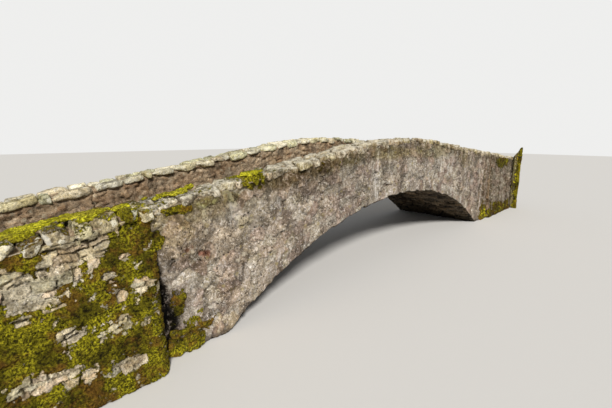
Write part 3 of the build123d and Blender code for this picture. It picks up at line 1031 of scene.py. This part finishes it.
def wingWall(where, wing):
    print("wing", where)
    side, end = where.split("_")
    low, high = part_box(f"{where}_wing_wall")
    copingLow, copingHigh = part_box(f"{where}_wing_coping")
    footOut = max(abs(low[1]), abs(high[1]))
    topOut = max(abs(copingLow[1]), abs(copingHigh[1])) - wingShape["copingOverhang"]
    inset = wingShape["inset"]

    def face(x, z):
        climb = np.clip(1 - z / bridge["batterHeight"], 0, 1)
        out = topOut + (footOut - topOut - inset) * climb + 0 * x
        # the near left wing's edge is worn round, and runs out into the main wall higher up
        above = np.clip((z - 1.1) / 0.35, 0, 1)
        worn = np.clip(1 - (high[0] - x) / (0.1 + 0.16 * above), 0, 1)
        return out - wing.get("wornEdge", 0.0) * (1 - 0.45 * above) * worn**1.6

    xFrom, xTo = low[0] + inset * (end == "left"), high[0] - inset * (end == "right")
    xs = np.linspace(xFrom, xTo, wing["columns"])
    finish = {
        "outer": wing["face"],
        "inner": faced(0.15, 0.1, 0.045, 0.1, 0.5, -0.12, 0.6),
        "end": faced(0.28, 0.1, 0.045, 0.0, 0.2, -0.08),
    }
    faceLooks = {"outer": wing["look"], "soffit": wing["look"], "rest": "innerRubble"}
    values, rows = {"Seed": wing["seed"], **wingShape["relief"]}, {**wingShape["rows"], **wing}
    name = f"{side}{end.capitalize()}Wing"
    piece = wallPiece(name, side, xs, face, lambda x: 0.0 * x, rows, finish, faceLooks, values)
    finishPiece(piece, [f"{where}_wing_wall", f"{where}_wing_parapet"], where == "near_right")


for where, wing in wings.items():
    wingWall(where, wing)


def slab(face, back, kind, endSpacing):
    # a slab's tube: its finished face, then its back
    kinds = np.repeat([faceKinds[kind], faceKinds["hidden"]], [face.shape[1], back.shape[1]])
    rings = np.concatenate([face, back], 1)
    return rings, kinds[None, :] * np.ones((len(rings), 1), int), endSpacing


# Underside of the arch, a shell of flat stones set on edge
shell = {
    "stations": 356, "across": 62, "depth": 0.2, "overlap": 0.02, "backPoints": 6,
    "relief": {"Render height": 0.02, "Swell height": 0.04},
}


def archUnderside():
    print("arch underside")
    angle = math.asin(bridge["halfSpan"] / intradosRadius)
    turn = np.linspace(-angle, angle, shell["stations"])[:, None]
    halfWidth = innerY + shell["overlap"]
    seed = mainWall["near"]["seed"]

    def sheet(radius, y):
        return grid(radius * np.sin(turn), y, archCentreZ + radius * np.cos(turn))

    def meetWalls(points, kinds, marks):
        marks["hold"] = marks["hold"] * pinch(halfWidth - np.abs(points[:, 1]), shell["overlap"])

    under = sheet(intradosRadius, np.linspace(-halfWidth, halfWidth, shell["across"]))
    back = sheet(intradosRadius + shell["depth"], np.linspace(halfWidth, -halfWidth, shell["backPoints"]))
    tube, finish = slab(under, back, "soffit", 0.3), {"soffit": archUnder, "end": hiddenEnd}
    values = {"Seed": seed, **shell["relief"]}
    piece = masonry("archUnderside", tube, finish, seed, {"rest": "soffitRubble"}, values, meetWalls)
    finishPiece(piece, ["arch_barrel", "left_abutment", "right_abutment"])


archUnderside()

# Path: rounded cobbles bedded in earth and grit
paving = {
    "stations": 510, "across": 66, "thickness": 0.1, "inset": 0.012, "wear": 0.02, "mossyEdge": 0.22,
    "cobbles": faced(0.16, 0.12, 0.04, 0.0, 0.0, rounded=1.0), "seed": 71.0,
    "relief": {
        "Seed": 9.0, "Render height": 0.014, "Swell height": 0.05, "Joint width": 0.006,
        "Joint rounding": 0.035,
    },
}


def pathPaving():
    print("path")
    xs = np.linspace(leftEnd + 0.02, rightEnd - 0.01, paving["stations"])[:, None]
    level = road(xs) - bridge["parapetHeight"] - paving["inset"]
    y = np.linspace(-innerY, innerY, paving["across"])
    top = grid(xs, y, level + paving["wear"] * (y / innerY) ** 2)
    base = grid(xs, np.linspace(innerY, -innerY, 6), level - paving["thickness"])

    def mossyEdges(points, kinds, marks):
        onTop = kinds == faceKinds["outer"]
        marks["stoneMap"][onTop, 1] = points[onTop, 1]
        edge = 1 - pinch(innerY - np.abs(points[:, 1]), paving["mossyEdge"])
        marks["mossLean"] = np.where(onTop, -0.07 + 0.16 * edge, -1.0)

    tube = slab(top, base, "outer", 0.05)
    finish, faceLooks = {"outer": paving["cobbles"], "end": hiddenEnd}, {"rest": "cobbles"}
    seed, values = paving["seed"], paving["relief"]
    piece = masonry("pathPaving", tube, finish, seed, faceLooks, values, mossyEdges)
    finishPiece(piece, ["path_left_ramp", "path_crown", "path_right_ramp"])


pathPaving()

# Rubble core of the approaches, seen where they are cut at both ends
core = {
    "inset": 0.035, "below": 0.1, "rows": 60, "topPoints": 8, "seed": 81.0,
    "relief": {"Seed": 12.0, "Render height": 0.03},
}


def approachCore(end):
    print("approach core", end)
    low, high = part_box(f"{end}_approach_fill")
    outerX = low[0] + core["inset"] if end == "left" else high[0] - core["inset"]
    innerX = high[0] if end == "left" else low[0]
    xs = np.sort([outerX, innerX, outerX * 0.96 + innerX * 0.04])[:, None]
    zTop = road(xs) - bridge["parapetHeight"] - core["below"]
    k = np.linspace(0, 1, core["rows"])
    flat = np.linspace(-innerY, innerY, core["topPoints"])[1:-1]
    z = np.concatenate([zTop * k, zTop + 0 * flat, (zTop * k)[:, ::-1], 0 * zTop + 0 * flat], 1)
    y = np.concatenate([0 * k - innerY, flat, 0 * k + innerY, -flat])
    tube = grid(xs, y, z), np.full(z.shape, faceKinds["hidden"]), 0.03
    finish = {"end": faced(0.26, 0.12, 0.05, 0.0, 0.1, -0.1)}
    name, faceLooks = f"{end}ApproachCore", {"rest": "innerRubble"}
    piece = masonry(name, tube, finish, core["seed"], faceLooks, core["relief"])
    finishPiece(piece, [f"{end}_approach_fill"])


for end in ("left", "right"):
    approachCore(end)
    # the haunch fill is closed in on all sides
    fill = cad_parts[f"{end}_haunch_fill"].data
    fill.materials.clear()
    fill.materials.append(materials["innerRubble"])

# Leaning flagstone at the right end, its near edge green with moss
flagstone = {
    "rows": 120, "faceY": 22, "edgeX": 8, "inset": 0.018, "shoulder": 0.6, "lean": 0.025, "seed": 5.0,
    "relief": {
        "Seed": 91.0, "Render height": 0.03, "Render scale": 6.0, "Swell height": 0.03,
        "Moss height": 0.012, "Moss scale": 7.0,
    },
}


def endFlagstone():
    print("end flagstone")
    low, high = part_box("end_flagstone")
    inset, shoulder = flagstone["inset"], flagstone["shoulder"]
    height = high[2] - inset
    z = np.linspace(0.0, height, flagstone["rows"])[:, None]
    up = z / height
    yOut = low[1] + 0.01 + 0.01 * np.sin(7 * up) ** 2
    yIn = high[1] - inset - np.clip((z - height + shoulder) / shoulder, 0, 1) * (high[1] - low[1] - 0.07)
    xLeft = low[0] + inset + flagstone["lean"] * up
    xRight = high[0] - inset + 0 * up
    k, m = (np.linspace(0, 1, flagstone[count], endpoint=False) for count in ("faceY", "edgeX"))
    y = np.concatenate([yIn + (yOut - yIn) * k, yOut + 0 * m, yOut + (yIn - yOut) * k, yIn + 0 * m], 1)
    wide = xRight - xLeft
    x = np.concatenate([xLeft + 0 * k, xLeft + wide * m, xRight + 0 * k, xRight - wide * m], 1)

    def mossAndPaintedShade(points, kinds, marks):
        x, y, _ = points.T
        marks["mossLean"] = 0.22 - 1.7 * np.hypot(x - low[0] - inset, y - low[1] - inset)
        # painted shade on the left face's strip next to the wall, painted light on the strip beyond it; the
        # rest of the slab is toned darker
        onLeft = (x < (low[0] + high[0]) / 2) & (y > low[1] + inset + 0.1)
        paintedShadeShare = np.clip((y + outerY + 0.1) / 0.05, 0, 1)
        shade = np.where(onLeft, 2.6 - 2.4 * paintedShadeShare, 0.8)
        marks["tint"] = np.stack([shade, shade, shade * 0.95], -1)

    tube = grid(x, y, z), np.full(x.shape, faceKinds["outer"]), 0.02
    finish, faceLooks = {"outer": hiddenEnd, "end": hiddenEnd}, {"rest": "slabStone"}
    seed, values = flagstone["seed"], flagstone["relief"]
    piece = masonry("endFlagstone", tube, finish, seed, faceLooks, values, mossAndPaintedShade)
    finishPiece(piece, ["end_flagstone"], True)


endFlagstone()


def roadNodes(x):
    # the level that road gives, and its slope
    dx = x - bridge["crestX"]
    bent = calc("MINIMUM", calc("MAXIMUM", dx, -leftReach), rightReach)
    root = calc("SQRT", bridge["crestRadius"] ** 2 - bent * bent)
    level = root + (crestZ - bridge["crestRadius"])
    level = level - calc("MAXIMUM", dx * -1.0 - leftReach, 0.0) * bridge["leftGradient"]
    level = level - calc("MAXIMUM", dx - rightReach, 0.0) * bridge["rightGradient"]
    return level, bent * -1.0 / root


def cuts(along, across, up):
    return {"Cuts along": along, "Cuts across": across, "Cuts up": up}


def buildBlocks():
    # turns points that carry a size, a turn and a tone into broken stone blocks
    start = newGroup("stone blocks", "GeometryNodeTree", {
        "Geometry": "Geometry", **cuts(15, 13, 9), "Roughness": 0.03, "Least chip": 0.43,
        "Most chip": 0.62, "Stone": "Material",
    })
    place = add("GeometryNodeInputPosition")
    points = keep(start["Geometry"], "blockSpot", place)
    block = add("GeometryNodeMeshCube", [(1.0, 1.0, 1.0), *(start[label] for label in cuts(0, 0, 0))])
    # the cube's edges and corners are pulled in, as a super-ellipsoid's are
    power = 7.0
    total = 0.0
    for part in place.parts():
        total = total + calc("POWER", calc("ABSOLUTE", part) * 2.0, power)
    radius = calc("MAXIMUM", calc("POWER", total, 1.0 / power), 1.0)
    block = keep(moved(block, place * (1.0 / radius)), "blockPlace", place)
    stones = add("GeometryNodeInstanceOnPoints", {"Points": points, "Instance": block})
    stones = add("GeometryNodeRealizeInstances", [stones])
    at, tone = stored("blockPlace"), stored("stoneTone")
    for chip in range(6):
        # each chip is a plane that takes off a corner
        key = tone * 91.0 + (chip * 7.1, chip * 3.3, 1.0)
        chance, way = outputs("ShaderNodeTexWhiteNoise", {"Vector": key})
        way = calc("NORMALIZE", way - middle)
        reach = fit(chance, 0.0, 1.0, start["Least chip"], start["Most chip"], False)
        at = at - way * calc("MAXIMUM", calc("DOT_PRODUCT", at, way) - reach, 0.0)
    turned = {"Vector": at * stored("blockSize"), "Rotation": stored("blockTurn")}
    at = add("ShaderNodeVectorRotate", turned, rotation_type="EULER_XYZ") + stored("blockSpot")
    spot = place + tone * 37.0
    height = noise(spot, 7.0, 3.0, 0.55) - 0.5 + (noise(spot, 24.0, 4.0, 0.65) - 0.5) * 0.55
    height = height - calc("ABSOLUTE", noise(spot, 9.0, 2.0) - 0.5) * 0.6
    stones = pushed(moved(stones, at), height * start["Roughness"])
    return giveOut(Geometry=dressed(stones, start["Stone"]))


blocks = buildBlocks()


def buildCoping():
    # a course of rough stones of uneven length, each its own block
    start = newGroup("coping course", "GeometryNodeTree", {
        "Geometry": "Geometry", "Stones": 44, "Rows": 2, "From": 0.0, "To": 1.0, "Centre": 0.0,
        "Depth": 0.46, "Least height": 0.13, "Most height": 0.22, "Shortest": 0.45, "Longest": 1.6,
        "Gap": 0.012, "Roughness": 0.05, "Most chip": 0.6, "Seed": 0, **cuts(13, 11, 9), "Stone": "Material",
    })
    rows, xFrom = start["Rows"], start["From"]
    points = add("GeometryNodeMeshLine", {"Count": start["Stones"] * rows, "Offset": (0.0, 0.0, 0.0)})
    pick, index = picker(start["Seed"])
    row = calc("MODULO", index, rows)
    share = pick(start["Shortest"], start["Longest"], 0)
    leading, _, total = outputs("GeometryNodeAccumulateField", {0: share, "Group ID": row})
    unit = (start["To"] - xFrom) / total
    x = xFrom + (leading - share * 0.5) * unit
    level, slope = roadNodes(x)
    height = pick(start["Least height"], start["Most height"], 5)
    z = level - pick(0.012, 0.045, 6) - height * 0.5
    rowDepth = start["Depth"] / rows
    y = start["Centre"] + (row + 0.5 - rows * 0.5) * rowDepth + pick(-0.02, 0.02, 7)
    size = joinVec(share * unit - start["Gap"], rowDepth + pick(-0.03, 0.02, 8), height)
    pitch = calc("ARCTANGENT", slope) * -1.0 + pick(-0.06, 0.06, 9)
    turn = joinVec(pick(-0.07, 0.07, 10), pitch, pick(-0.08, 0.08, 11))
    chances = {0: (0.0, 0.0, 0.0), 1: (1.0, 1.0, 1.0), 7: index, 8: start["Seed"]}
    tone = add("FunctionNodeRandomValue", chances, data_type="FLOAT_VECTOR")
    points = moved(points, joinVec(x, y, z))
    for label, value in (("blockSize", size), ("blockTurn", turn), ("stoneTone", tone)):
        points = keep(points, label, value)
    passed = (*cuts(0, 0, 0), "Roughness", "Most chip", "Stone")
    inputs = {"Geometry": points, **{label: start[label] for label in passed}}
    return giveOut(Geometry=add("GeometryNodeGroup", inputs, node_tree=blocks))


copingTree = buildCoping()
# Coping of both sides. runs: stretch, from x, to x, stones in a row, how far out it stands, seed, least
# and most height; moss: from x, to x, how freely it grows; mossFalls: where it hangs down, half width
copings = {
    "near": {
        "runs": [
            ("main", -wingX, wingX, 46, 0.0, 14, 0.11, 0.18),
            ("right_wing", wingX, rightEnd, 9, 0.03, 25, 0.11, 0.18),
        ],
        "stone": "wallTopStone", "deeper": 0.045, "aside": 0.005,
        "values": {**cuts(11, 7, 8), "Gap": 0.01, "Roughness": 0.06, "Most chip": 0.54},
        "moss": [
            (-7.92, -5.5, 0.12), (-5.42, -4.7, 0.06), (-4.2, -3.7, 0.1), (-3.2, 4.0, -0.07),
            (5.6, 7.8, -0.02),
        ],
        "mossFalls": [(-4.03, 0.2), (-5.68, 0.08)],
    },
    "far": {
        "runs": [
            ("left_wing", leftEnd + 0.02, -wingX, 8, 0.06, 36, 0.11, 0.18),
            ("main", -wingX, wingX, 38, 0.0, 47, 0.09, 0.15),
            ("right_wing", wingX, rightEnd, 9, 0.03, 58, 0.11, 0.18),
        ],
        "stone": "copingStone", "deeper": 0.09, "aside": -0.012,
        "values": {
            **cuts(9, 6, 6), "Shortest": 0.4, "Longest": 2.0, "Gap": 0.004, "Roughness": 0.065,
            "Most chip": 0.62,
        },
        "moss": [],
        "mossFalls": [],
    },
}


def finishCoping(piece, side, stretch):
    # moss settles on the tops of the stones
    x = readVectors(piece.data.vertices, "co")[:, 0]
    up = readVectors(piece.data.vertex_normals, "vector")[:, 2]
    lean = np.full(x.shape, -0.3)
    for xFrom, xTo, strength in copings[side]["moss"]:
        lean = np.maximum(lean, strength - 0.5 * np.maximum(0, np.maximum(xFrom - x, x - xTo)))
    moss = np.clip(0.3 + 2.2 * lean, 0, 1) * np.clip((up - 0.25) / 0.4, 0, 1)
    for xAt, half in copings[side]["mossFalls"]:
        moss = np.maximum(moss, np.clip(1.6 - 1.2 * np.abs(x - xAt) / half, 0, 0.9))
    writeMark(piece, "moss", moss)
    writeMark(piece, "skyward", np.clip((up - 0.1) / 0.5, 0, 1))
    parts = ("left", "right") if stretch == "main" else (stretch,)
    finishPiece(piece, [f"{side}_{part}_coping" for part in parts])


def copingCourse(side, stretch, xFrom, xTo, stones, step, seed, least, most):
    print("coping", side, stretch)
    coping = copings[side]
    startGap, endGap = 0.012, 0.004
    name = f"{side}{stretch.title().replace('_', '')}Coping"
    piece = linked(name, bpy.data.meshes.new(name))
    runNodes(piece, copingTree, {
        "Stones": stones, "From": xFrom + startGap, "To": xTo - endGap, "Seed": seed,
        "Depth": outerY - innerY + step + coping["deeper"],
        "Centre": ways[side] * ((innerY + outerY + step) / 2 + coping["aside"]),
        "Least height": least, "Most height": most, "Stone": materials[coping["stone"]], **coping["values"],
    })
    finishCoping(piece, side, stretch)


for side, coping in copings.items():
    for run in coping["runs"]:
        copingCourse(side, *run)


def blockPiece(name, stones, values):
    # stone blocks at chosen places, each with its size, turn and tone
    spots, *vectors = zip(*stones)
    piece = meshFrom(name, spots, [])
    for label, given in zip(("blockSize", "blockTurn", "stoneTone"), vectors):
        writeMark(piece, label, given)
    return runNodes(piece, blocks, values)


# Big uneven coping stones of the near left wing: from x, to x, height, how far they stand up, turn
wingTop = {
    "stones": [
        (-7.9, -7.66, 0.17, 0.0, 0.05), (-7.64, -7.4, 0.2, 0.01, -0.06), (-7.39, -7.2, 0.15, 0.0, 0.04),
        (-7.18, -6.92, 0.18, 0.01, -0.03), (-6.9, -6.74, 0.16, 0.0, 0.06),
        (-6.73, -6.55, 0.15, 0.02, -0.05), (-6.54, -6.36, 0.16, 0.0, 0.08),
        (-6.34, -6.13, 0.24, 0.035, -0.1), (-6.12, -5.97, 0.16, 0.015, 0.1),
        (-5.96, -5.71, 0.19, 0.03, -0.14), (-5.7, -5.56, 0.16, 0.02, 0.2),
        (-5.55, -5.41, 0.17, 0.02, -0.05),
    ],
    "seed": 77,
    "step": 0.06,
    "deeper": (0.05, 0.09),
    "gap": 0.004,
    "sunk": 0.01,
    "values": {**cuts(21, 25, 19), "Roughness": 0.055, "Least chip": 0.36, "Most chip": 0.56},
}


def wingTopCoping():
    print("coping near left_wing")
    rng = np.random.default_rng(wingTop["seed"])
    stones = []
    for xFrom, xTo, height, rise, pitch in wingTop["stones"]:
        x = (xFrom + xTo) / 2
        depth = outerY - innerY + wingTop["step"] + rng.uniform(*wingTop["deeper"])
        level = float(road(x)) + rise - height / 2 - wingTop["sunk"]
        pitch = pitch - math.atan(bridge["leftGradient"]) * 0.8
        turn = (rng.uniform(-0.06, 0.08), pitch, rng.uniform(-0.1, 0.1))
        size = (xTo - xFrom - wingTop["gap"], depth, height)
        stones.append(((x, -(innerY - 0.02 + depth / 2), level), size, turn, rng.uniform(0, 1, 3)))
    values = {**wingTop["values"], "Stone": materials["copingStone"]}
    finishCoping(blockPiece("nearLeftWingCoping", stones, values), "near", "left_wing")


wingTopCoping()

# Boulders against the feet of the abutments, under moss. rows: how many, level; sizes: least and most
# length, depth and height
boulders = {
    "moss": 0.75,
    "seed": 404,
    "rows": [(5, 0.07), (5, 0.17), (3, 0.27)],
    "sizes": [(0.13, 0.21), (0.1, 0.15), (0.1, 0.14)],
    "inset": 0.09,
    "near": cuts(13, 11, 10),
    "far": cuts(9, 8, 7),
    "values": {"Roughness": 0.03, "Least chip": 0.34, "Most chip": 0.5},
}


def footStones(side, end):
    print("foot stones", side, end)
    low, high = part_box(f"{side}_{end}_plinth")
    rng = np.random.default_rng(boulders["seed"] + 7 * (side == "near") + 3 * (end == "left"))
    inset = boulders["inset"]
    stones = []
    for row, (count, z) in enumerate(boulders["rows"]):
        for k in range(count):
            size = np.array([rng.uniform(*span) for span in boulders["sizes"]]) * (1 - 0.08 * row)
            wide = high[0] - low[0] - 2 * inset
            x = low[0] + inset + wide * (k + 0.5 + rng.uniform(-0.2, 0.2)) / count
            spot = (x, ways[side] * (outerY + 0.045 - 0.012 * row - size[1] * 0.25), z)
            stones.append((spot, size, rng.uniform(-0.3, 0.3, 3), rng.uniform(0, 1, 3)))
    values = {**boulders[side], **boulders["values"], "Stone": materials["mossyStone"]}
    piece = blockPiece(f"{side}{end.capitalize()}FootStones", stones, values)
    writeMark(piece, "moss", np.full(len(piece.data.vertices), boulders["moss"]))
    finishPiece(piece, [f"{side}_{end}_plinth"])


for side in ways:
    for end in ("left", "right"):
        footStones(side, end)


def buildCushions():
    # moss cushions on the coping: heaps of lumps grown together
    start = newGroup("moss cushions", "GeometryNodeTree", {
        "Geometry": "Geometry", "Lumps": 900, "From": -1.0, "To": 1.0, "Back": 0.0, "Front": 0.4,
        "Fall": 0.06, "Rise": 0.0, "Lump size": 0.025, "Bare share": 0.4, "Rim": -0.1, "Voxel": 0.011,
        "Fuzz": 0.014, "Seed": 0, "Moss": "Material",
    })
    lip = 0.86  # the share across where moss begins to hang over the edge
    points = add("GeometryNodeMeshLine", {"Count": start["Lumps"], "Offset": (0.0, 0.0, 0.0)})
    pick, _ = picker(start["Seed"])
    x, across = pick(start["From"], start["To"], 0), pick(0.0, 1.0, 1)
    y = fit(across, 0.0, lip, start["Back"], start["Front"], False)
    spill = calc("GREATER_THAN", across, lip) * (pick(0.0, 1.0, 2) * start["Fall"])
    points = moved(points, joinVec(x, y, roadNodes(x)[0] + start["Rise"] - spill))
    place = add("GeometryNodeInputPosition")
    growth = noise(place * (1.0, 1.6, 1.0), 3.4, 3.0, 0.6)
    fromEnd = calc("MINIMUM", x - start["From"], start["To"] - x)
    growth = growth + fit(fromEnd, 0.0, 0.2, -0.12, 0.0)
    fromRim = calc("MINIMUM", across * 2.0, lip - across)
    growth = growth + fit(fromRim, 0.0, 0.45, start["Rim"], 0.04)
    bare = calc("LESS_THAN", growth, start["Bare share"])
    points = add("GeometryNodeDeleteGeometry", {"Geometry": points, "Selection": bare})
    lump = add("GeometryNodeMeshIcoSphere", {"Radius": start["Lump size"], "Subdivisions": 2})
    scale = fit(growth, 0.42, 0.62, 0.55, 1.25) * pick(0.7, 1.3, 4)
    heap = {"Points": points, "Instance": lump, "Scale": joinVec(scale, scale, scale * 0.8)}
    heap = add("GeometryNodeRealizeInstances", [add("GeometryNodeInstanceOnPoints", heap)])
    cloud = {"Mesh": heap, "Voxel Size": start["Voxel"], "Interior Band Width": 0.05}
    cloud = add("GeometryNodeMeshToVolume", cloud, resolution_mode="VOXEL_SIZE")
    skin = add("GeometryNodeVolumeToMesh", {"Volume": cloud, "Threshold": 0.1})
    skin = pushed(skin, (noise(place, 45.0, 3.0, 0.7) - 0.5) * start["Fuzz"])
    return giveOut(Geometry=dressed(skin, start["Moss"]))


cushionTree = buildCushions()
# Each cushion: lumps, from x, to x, back, front, fall over the edge, rise, bare share, rim, seed
cushionInputs = ("Lumps", "From", "To", "Back", "Front", "Fall", "Rise", "Bare share", "Rim", "Seed")
cushions = {
    "wingTop": (4600, -7.88, -5.74, -0.93, -1.26, 0.03, 0.012, 0.39, -0.1, 1),
    "wingFall": (700, -5.74, -5.56, -1.1, -1.4, 0.12, 0.0, 0.4, 0.04, 4),
    "leftTop": (900, -5.45, -4.74, -0.93, -1.24, 0.02, -0.014, 0.46, -0.06, 2),
    "tuftTop": (500, -4.14, -3.8, -1.05, -1.3, 0.03, -0.022, 0.46, -0.1, 3),
}


def mossCushion(where, values):
    print("moss", where)
    piece = linked(where + "Moss", bpy.data.meshes.new(where + "Moss"))
    runNodes(piece, cushionTree, {**dict(zip(cushionInputs, values)), "Moss": materials["mossCushion"]})
    node = "near_left_wing_coping" if where.startswith("wing") else "near_left_coping"
    finishPiece(piece, [node])


for where, values in cushions.items():
    mossCushion(where, values)

# Studio
studio = {
    "cameraAt": (-6.799, -5.107, 2.611),
    "cameraYaw": 44.987,
    "cameraPitch": 10.941,
    "cameraRoll": 0.224,
    "focalPixels": 347.57,
    "photoWidth": 612,
    "sunStrength": 3.5,
    "sunSoftness": 11,
    "sunTurn": (52, 0, -32),
    "sunColour": (1.0, 0.975, 0.94),
    "skyStrength": 0.28,
    "skyColour": (0.95, 0.97, 1.0, 1.0),
    "backdropColour": (0.86, 0.86, 0.85, 1.0),
    "floorHalf": 60.0,
    "floorColour": "dedcd8",
}


def placeCamera():
    yaw, pitch, roll = (math.radians(studio[k]) for k in ("cameraYaw", "cameraPitch", "cameraRoll"))
    ahead = np.array([math.sin(yaw) * math.cos(pitch), math.cos(yaw) * math.cos(pitch), -math.sin(pitch)])
    right = np.array([math.cos(yaw), -math.sin(yaw), 0.0])
    above = np.cross(right, ahead)
    sideways = math.cos(roll) * right + math.sin(roll) * above
    upwards = -math.sin(roll) * right + math.cos(roll) * above
    camera = linked("camera", bpy.data.cameras.new("camera"))
    camera.data.sensor_width = 36.0
    camera.data.sensor_fit = "HORIZONTAL"
    camera.data.lens = studio["focalPixels"] / studio["photoWidth"] * camera.data.sensor_width
    camera.data.clip_end = 200.0
    turn = Matrix([(*row, 0.0) for row in np.stack([sideways, upwards, -ahead], 1)] + [(0, 0, 0, 1)])
    camera.matrix_world = Matrix.Translation(studio["cameraAt"]) @ turn
    bpy.context.scene.camera = camera


def placeLights():
    sun = linked("key light", bpy.data.lights.new("key light", "SUN"))
    sun.data.energy = studio["sunStrength"]
    sun.data.angle = math.radians(studio["sunSoftness"])
    sun.data.color = studio["sunColour"]
    sun.rotation_euler = [math.radians(angle) for angle in studio["sunTurn"]]
    world = bpy.context.scene.world = bpy.data.worlds.new("soft sky")
    world.use_nodes = True
    tree = bench["tree"] = world.node_tree
    tree.nodes.clear()
    rays = tree.nodes.new("ShaderNodeLightPath").outputs
    seen = Field(rays["Is Camera Ray"])
    for kind in ("Glossy", "Transmission"):
        seen = calc("MAXIMUM", seen, Field(rays[f"Is {kind} Ray"]))
    light = add("ShaderNodeBackground", [studio["skyColour"], studio["skyStrength"]])
    backdrop = add("ShaderNodeBackground", [studio["backdropColour"], 1.0])
    both = add("ShaderNodeMixShader", [seen, light, backdrop])
    feed(tree.nodes.new("ShaderNodeOutputWorld").inputs[0], both)


def placeFloor():
    half = studio["floorHalf"]
    corners = [(-half, -half, 0), (half, -half, 0), (half, half, 0), (-half, half, 0)]
    floor = meshFrom("floor", corners, [(0, 1, 2, 3)])
    material, shader, _ = startMaterial("pale floor", 1.0, 0.0)
    shader.inputs["Base Color"].default_value = srgb(studio["floorColour"])
    floor.data.materials.append(material)


placeCamera()
placeLights()
placeFloor()
bpy.context.scene.view_settings.view_transform = "Standard"
